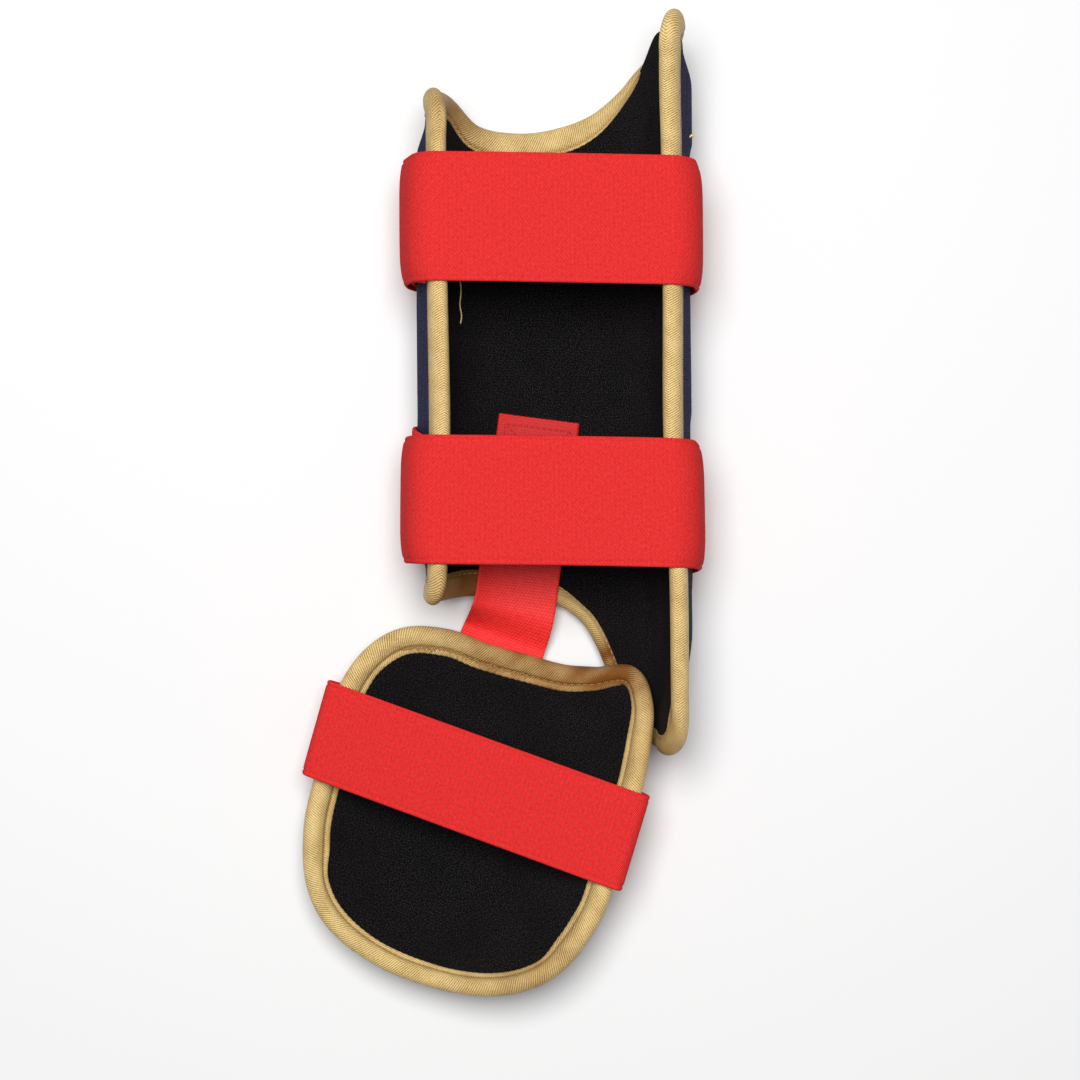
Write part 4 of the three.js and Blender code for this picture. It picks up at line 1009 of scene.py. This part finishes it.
# The patch under the cup, between the rim and the end of the lap
def footHook():
    half = straps["footWidth"] / 2 - straps["hookInset"]

    def place(row, side, out):
        b = cup["strapPlace"] + side * half
        rim = rimAt(cup["strapPlace"] + np.array([-half, half]), 1)
        edge = rim[0] + (rim[1] - rim[0]) * (side + 1) / 2 - bindingInset
        start, end = edge - straps["footLap"] + straps["hookInset"], edge - 2 * straps["hookInset"]
        a, z = np.moveaxis(cupSection(start + (end - start) * row, b + 0 * row, out), -1, 0)
        return stacked(*turned(a, b), z)

    hookPatch("foot", 16, place)


for part in shinStraps:
    shinHook(part)
footHook()


webbing = {
    "width": 33, "sewn": 71, "tuck": 24, "shift": 15.2, "lean": 7.3, "drop": 13, "clearance": 3, "stepOff": 6,
    "rows": 330, "widening": 0.07, "pinking": 2.2, "teeth": 0.35,
    # across the width from the edge, thickness lost
    "selvage": [(0, 0.6), (0.2, 0.35), (0.6, 0.12), (1.1, 0), (1.7, 0.12), (2.4, 0)],
    # the box seam: its ends along the webbing, and how far across it goes
    "box": (67, 45, 0.82),
}
crossing = noseRadius + webbing["clearance"]


# Height of the trough's floor at x, and out from it square to its slope
def troughFloor(x, out):
    x = np.abs(x)
    flat = slice(0, 72)
    slope = np.interp(x, section[1][flat], section[4][flat] / section[3][flat])
    return floorHeight + np.interp(x, section[1][flat], section[2][flat]) - out * np.hypot(1, slope)


# Height of the cup's bowl under a point of the trough's axes, and out from it square to its slope
def cupFloor(x, y, out):
    angle = np.radians(cup["turn"])
    dx, dy = x - footCentre[0], y - footCentre[1]
    a, b = dx * np.cos(angle) - dy * np.sin(angle), dx * np.sin(angle) + dy * np.cos(angle)
    slopeA, slopeB = footSlopes(a, b)
    return footHeight(a, b) - out * np.sqrt(slopeA ** 2 + slopeB ** 2 + 1)


# The webbing's lean from the leg: its own in the trough, the cup's turn past the ankle
def webbingLean(at):
    turn = cup["turn"] - webbing["lean"]
    return np.radians(webbing["lean"] + turn * smooth(-at / (webbing["drop"] + crossing)))


# Middle line of the webbing: the lean summed from the trough's edge, both ways
def webbingMiddle(at):
    fine = np.linspace(-webbing["drop"] - crossing - webbing["tuck"], webbing["sewn"], 1200)
    step = fine[1] - fine[0]
    x, y = (np.cumsum(part(webbingLean(fine))) * step for part in (np.sin, np.cos))
    return (np.interp(at, fine, x) - np.interp(0, fine, x) - webbing["shift"],
            np.interp(at, fine, y) - np.interp(0, fine, y))


# A point of the webbing: at runs along it, side across it from -1 to 1, lift up from its underside.
# It lies on the lining, climbs over the binding, sinks across the ankle and is tucked under the cup.
def webbingPoint(at, side, lift):
    x0, y0 = webbingMiddle(at)
    lean = webbingLean(at)
    lower = smooth(-at, 0, 26)
    half = webbing["width"] / 2 * (1 + webbing["widening"] * lower)
    x = x0 - 0.9 * lower + side * half * np.cos(lean)
    y = y0 - side * half * np.sin(lean)
    rampStart = bindingInset + half * np.sin(webbingLean(0))
    rise = smooth(1 - (at - rampStart) / webbing["stepOff"])
    onLining = -liningInner + cloth["gap"] + (cloth["bindingWall"] + cloth["gap"]) * rise + lift
    outer = noseMiddle + noseRadius
    onPad = smooth(-(at + webbing["drop"] + crossing), cloth["bindingReach"], cloth["padTaper"])
    underCup = outer + (padOuter - outer) * onPad + cloth["gap"] + cloth["webbing"] - lift
    share = smooth(-at, crossing, webbing["drop"])
    return stacked(x, y, troughFloor(x, -onLining) * (1 - share) + cupFloor(x, y, underCup) * share)


# The webbing: its section carried along; small teeth at its pinked end, and painted shade where it lies deep in
# the trough
def linkWebbing():
    total = webbing["sewn"] + webbing["drop"] + crossing + webbing["tuck"]
    at = webbing["sewn"] - np.linspace(0, total, webbing["rows"])
    fromEnd = webbing["sewn"] - at
    points, v = flatSection(webbing["selvage"], webbing["width"], cloth["webbing"], 40)
    teeth = webbing["teeth"] * np.abs((v[:-1] / webbing["pinking"]) % 1 * 2 - 1)
    fade = np.clip(1 - fromEnd / 3, 0, 1)
    lift = points[None, :, 1] + cloth["webbing"] / 2
    rings = webbingPoint(at[:, None] - teeth[None] * fade[:, None], points[None, :, 0], lift)
    # Painted shade: darker from the sewn end to about 28 to 44 mm along, deep in the trough.
    paintedShade = np.repeat(1 - smooth(fromEnd, 28, 16), len(points))
    makePiece("linkWebbing", *sweep(rings, fromEnd, v), webbingCloth, "webbing", ["link_webbing"], paintedShade)


# Stitches along lines of places on the webbing, each line given by its two ends (along, side)
def webbingSeam(lines, pitch=2.4):
    shapes = []
    for start, end in np.array(lines, float):
        size = np.hypot(end[0] - start[0], (end[1] - start[1]) * webbing["width"] / 2)
        count = max(2, int(round(size / pitch)))
        place = start + (end - start) * (np.arange(count)[:, None] + 0.5) / count
        at, ahead = (webbingPoint(*(place + (end - start) * step).T, cloth["webbing"] + 0.1) for step in (0, 0.01))
        along = unit(ahead - at)
        across = unit(np.cross([0, 0, 1.0], along))
        shapes.append(copies(*stitchShape(pitch * 0.85, 0.28), at, along, across, np.cross(along, across)))
    return joined(shapes)


linkWebbing()
top, low, side = webbing["box"]
makePiece("webbingSeam", *webbingSeam([
    ((top, -side), (top, side)), ((low, -side), (low, side)), ((top, -side), (low, -side)),
    ((top, side), (low, side)), ((top, -side), (low, side)), ((top, side), (low, -side)),
]), redThread, "webbing")
print("webbing ready")


# Zigzag bar on the cup's collar, where the webbing is sewn under it: an uneven triangle wave
def collarZigzag():
    loop = footEdge(np.linspace(132, 84, 420))
    normals = loopNormals(footEdge(np.linspace(135, 81, 420)), 2)
    normals = np.where((normals * loop).sum(1, keepdims=True) < 0, -normals, normals)
    length = walked(loop)
    wave = (length / 1.7 + 0.4 * uneven(length, 0, 6, 23)) % 1
    swing = 0.8 + 0.45 * uneven(length, 0, 7, 22)
    inwards = 4.7 + swing * (4 * np.abs(wave - 0.5) - 1) + 0.6 * uneven(length, 0, 4, 21)
    out = np.array([[noseMiddle - binding["layers"] - 0.7]])
    return threadAlong(onCup(loop, normals, -inwards[:, None], out)[:, 0], 0.22)


# A seam's thread on the trough's lining, down its left crease
def liningThread():
    along = np.linspace(133, 108, 90)
    inside = np.linspace(0, panelHalf, 400)
    x = shinPoint(-inside, 117.0, liningInner)[:, 0]
    across = -np.interp(38.6, -x, inside) + 0.35 * uneven(along, 0, 9, 31)
    return threadAlong(shinPoint(across, along, liningInner - 0.95), 0.3)


# A thread end that stands out of the shell beside the knee and curls by two sines
def threadEnd():
    share = np.linspace(0, 1, 16)
    start = shinPoint(0.86 * panelHalf, 178.5, padOuter - 0.2)
    curl = stacked(1.9 * share, 0.8 * np.sin(3 * share), share + 0.6 * np.sin(5 * share))
    return threadAlong(start + curl, 0.45)


makePiece("collarZigzag", *collarZigzag(), brownThread, "binding_tape")
makePiece("liningThread", *liningThread(), goldThread, "binding_tape")
makePiece("threadEnd", *threadEnd(), goldThread, "binding_tape")
print("threads ready")


# Places and sizes in metres, power in watts
studio = {
    "floor": "#E2E2E2", "floorSize": 8.0, "world": 0.1,
    "softbox": (-0.05, 0.26, 1.6), "softboxSize": 0.85, "softboxPower": 34.0,
    "camera": (0.015426, -0.012461, 1.1), "lens": 89.33,
}


# A new object with its data in the scene, at a place
def inScene(name, data, place=(0, 0, 0)):
    made = bpy.data.objects.new(name, data)
    made.location = place
    bpy.context.scene.collection.objects.link(made)
    return made


# A matt white studio floor: one square
def makeFloor():
    half = studio["floorSize"] / 2
    square = bpy.data.meshes.new("floor")
    corners = [(-half, -half, 0), (half, -half, 0), (half, half, 0), (-half, half, 0)]
    square.from_pydata(corners, [], [(0, 1, 2, 3)])
    material = bpy.data.materials.new("matt white studio floor")
    material.use_nodes = True
    shader = material.node_tree.nodes["Principled BSDF"]
    shader.inputs["Base Color"].default_value = linear(studio["floor"])
    shader.inputs["Roughness"].default_value = 0.9
    square.materials.append(material)
    floor = inScene("floor", square)


# One round softbox that faces the middle of the floor, and a faint even light from all round
def makeLight():
    light = bpy.data.lights.new("softbox", "AREA")
    light.shape = "DISK"
    light.size = studio["softboxSize"]
    light.energy = studio["softboxPower"]
    x, y, z = studio["softbox"]
    softbox = inScene("softbox", light, studio["softbox"])
    softbox.rotation_euler = (np.arctan2(np.hypot(x, y), z), 0, np.arctan2(-y, -x) - np.pi / 2)
    world = bpy.data.worlds.new("studio")
    world.use_nodes = True
    world.node_tree.nodes["Background"].inputs[0].default_value = (1, 1, 1, 1)
    world.node_tree.nodes["Background"].inputs[1].default_value = studio["world"]
    bpy.context.scene.world = world
    bpy.context.scene.view_settings.view_transform = "Standard"


# A camera that looks straight down
def makeCamera():
    data = bpy.data.cameras.new("camera")
    data.lens = studio["lens"]
    data.clip_start = 0.05
    bpy.context.scene.camera = inScene("camera", data, studio["camera"])


makeFloor()
makeLight()
makeCamera()
print("studio ready")
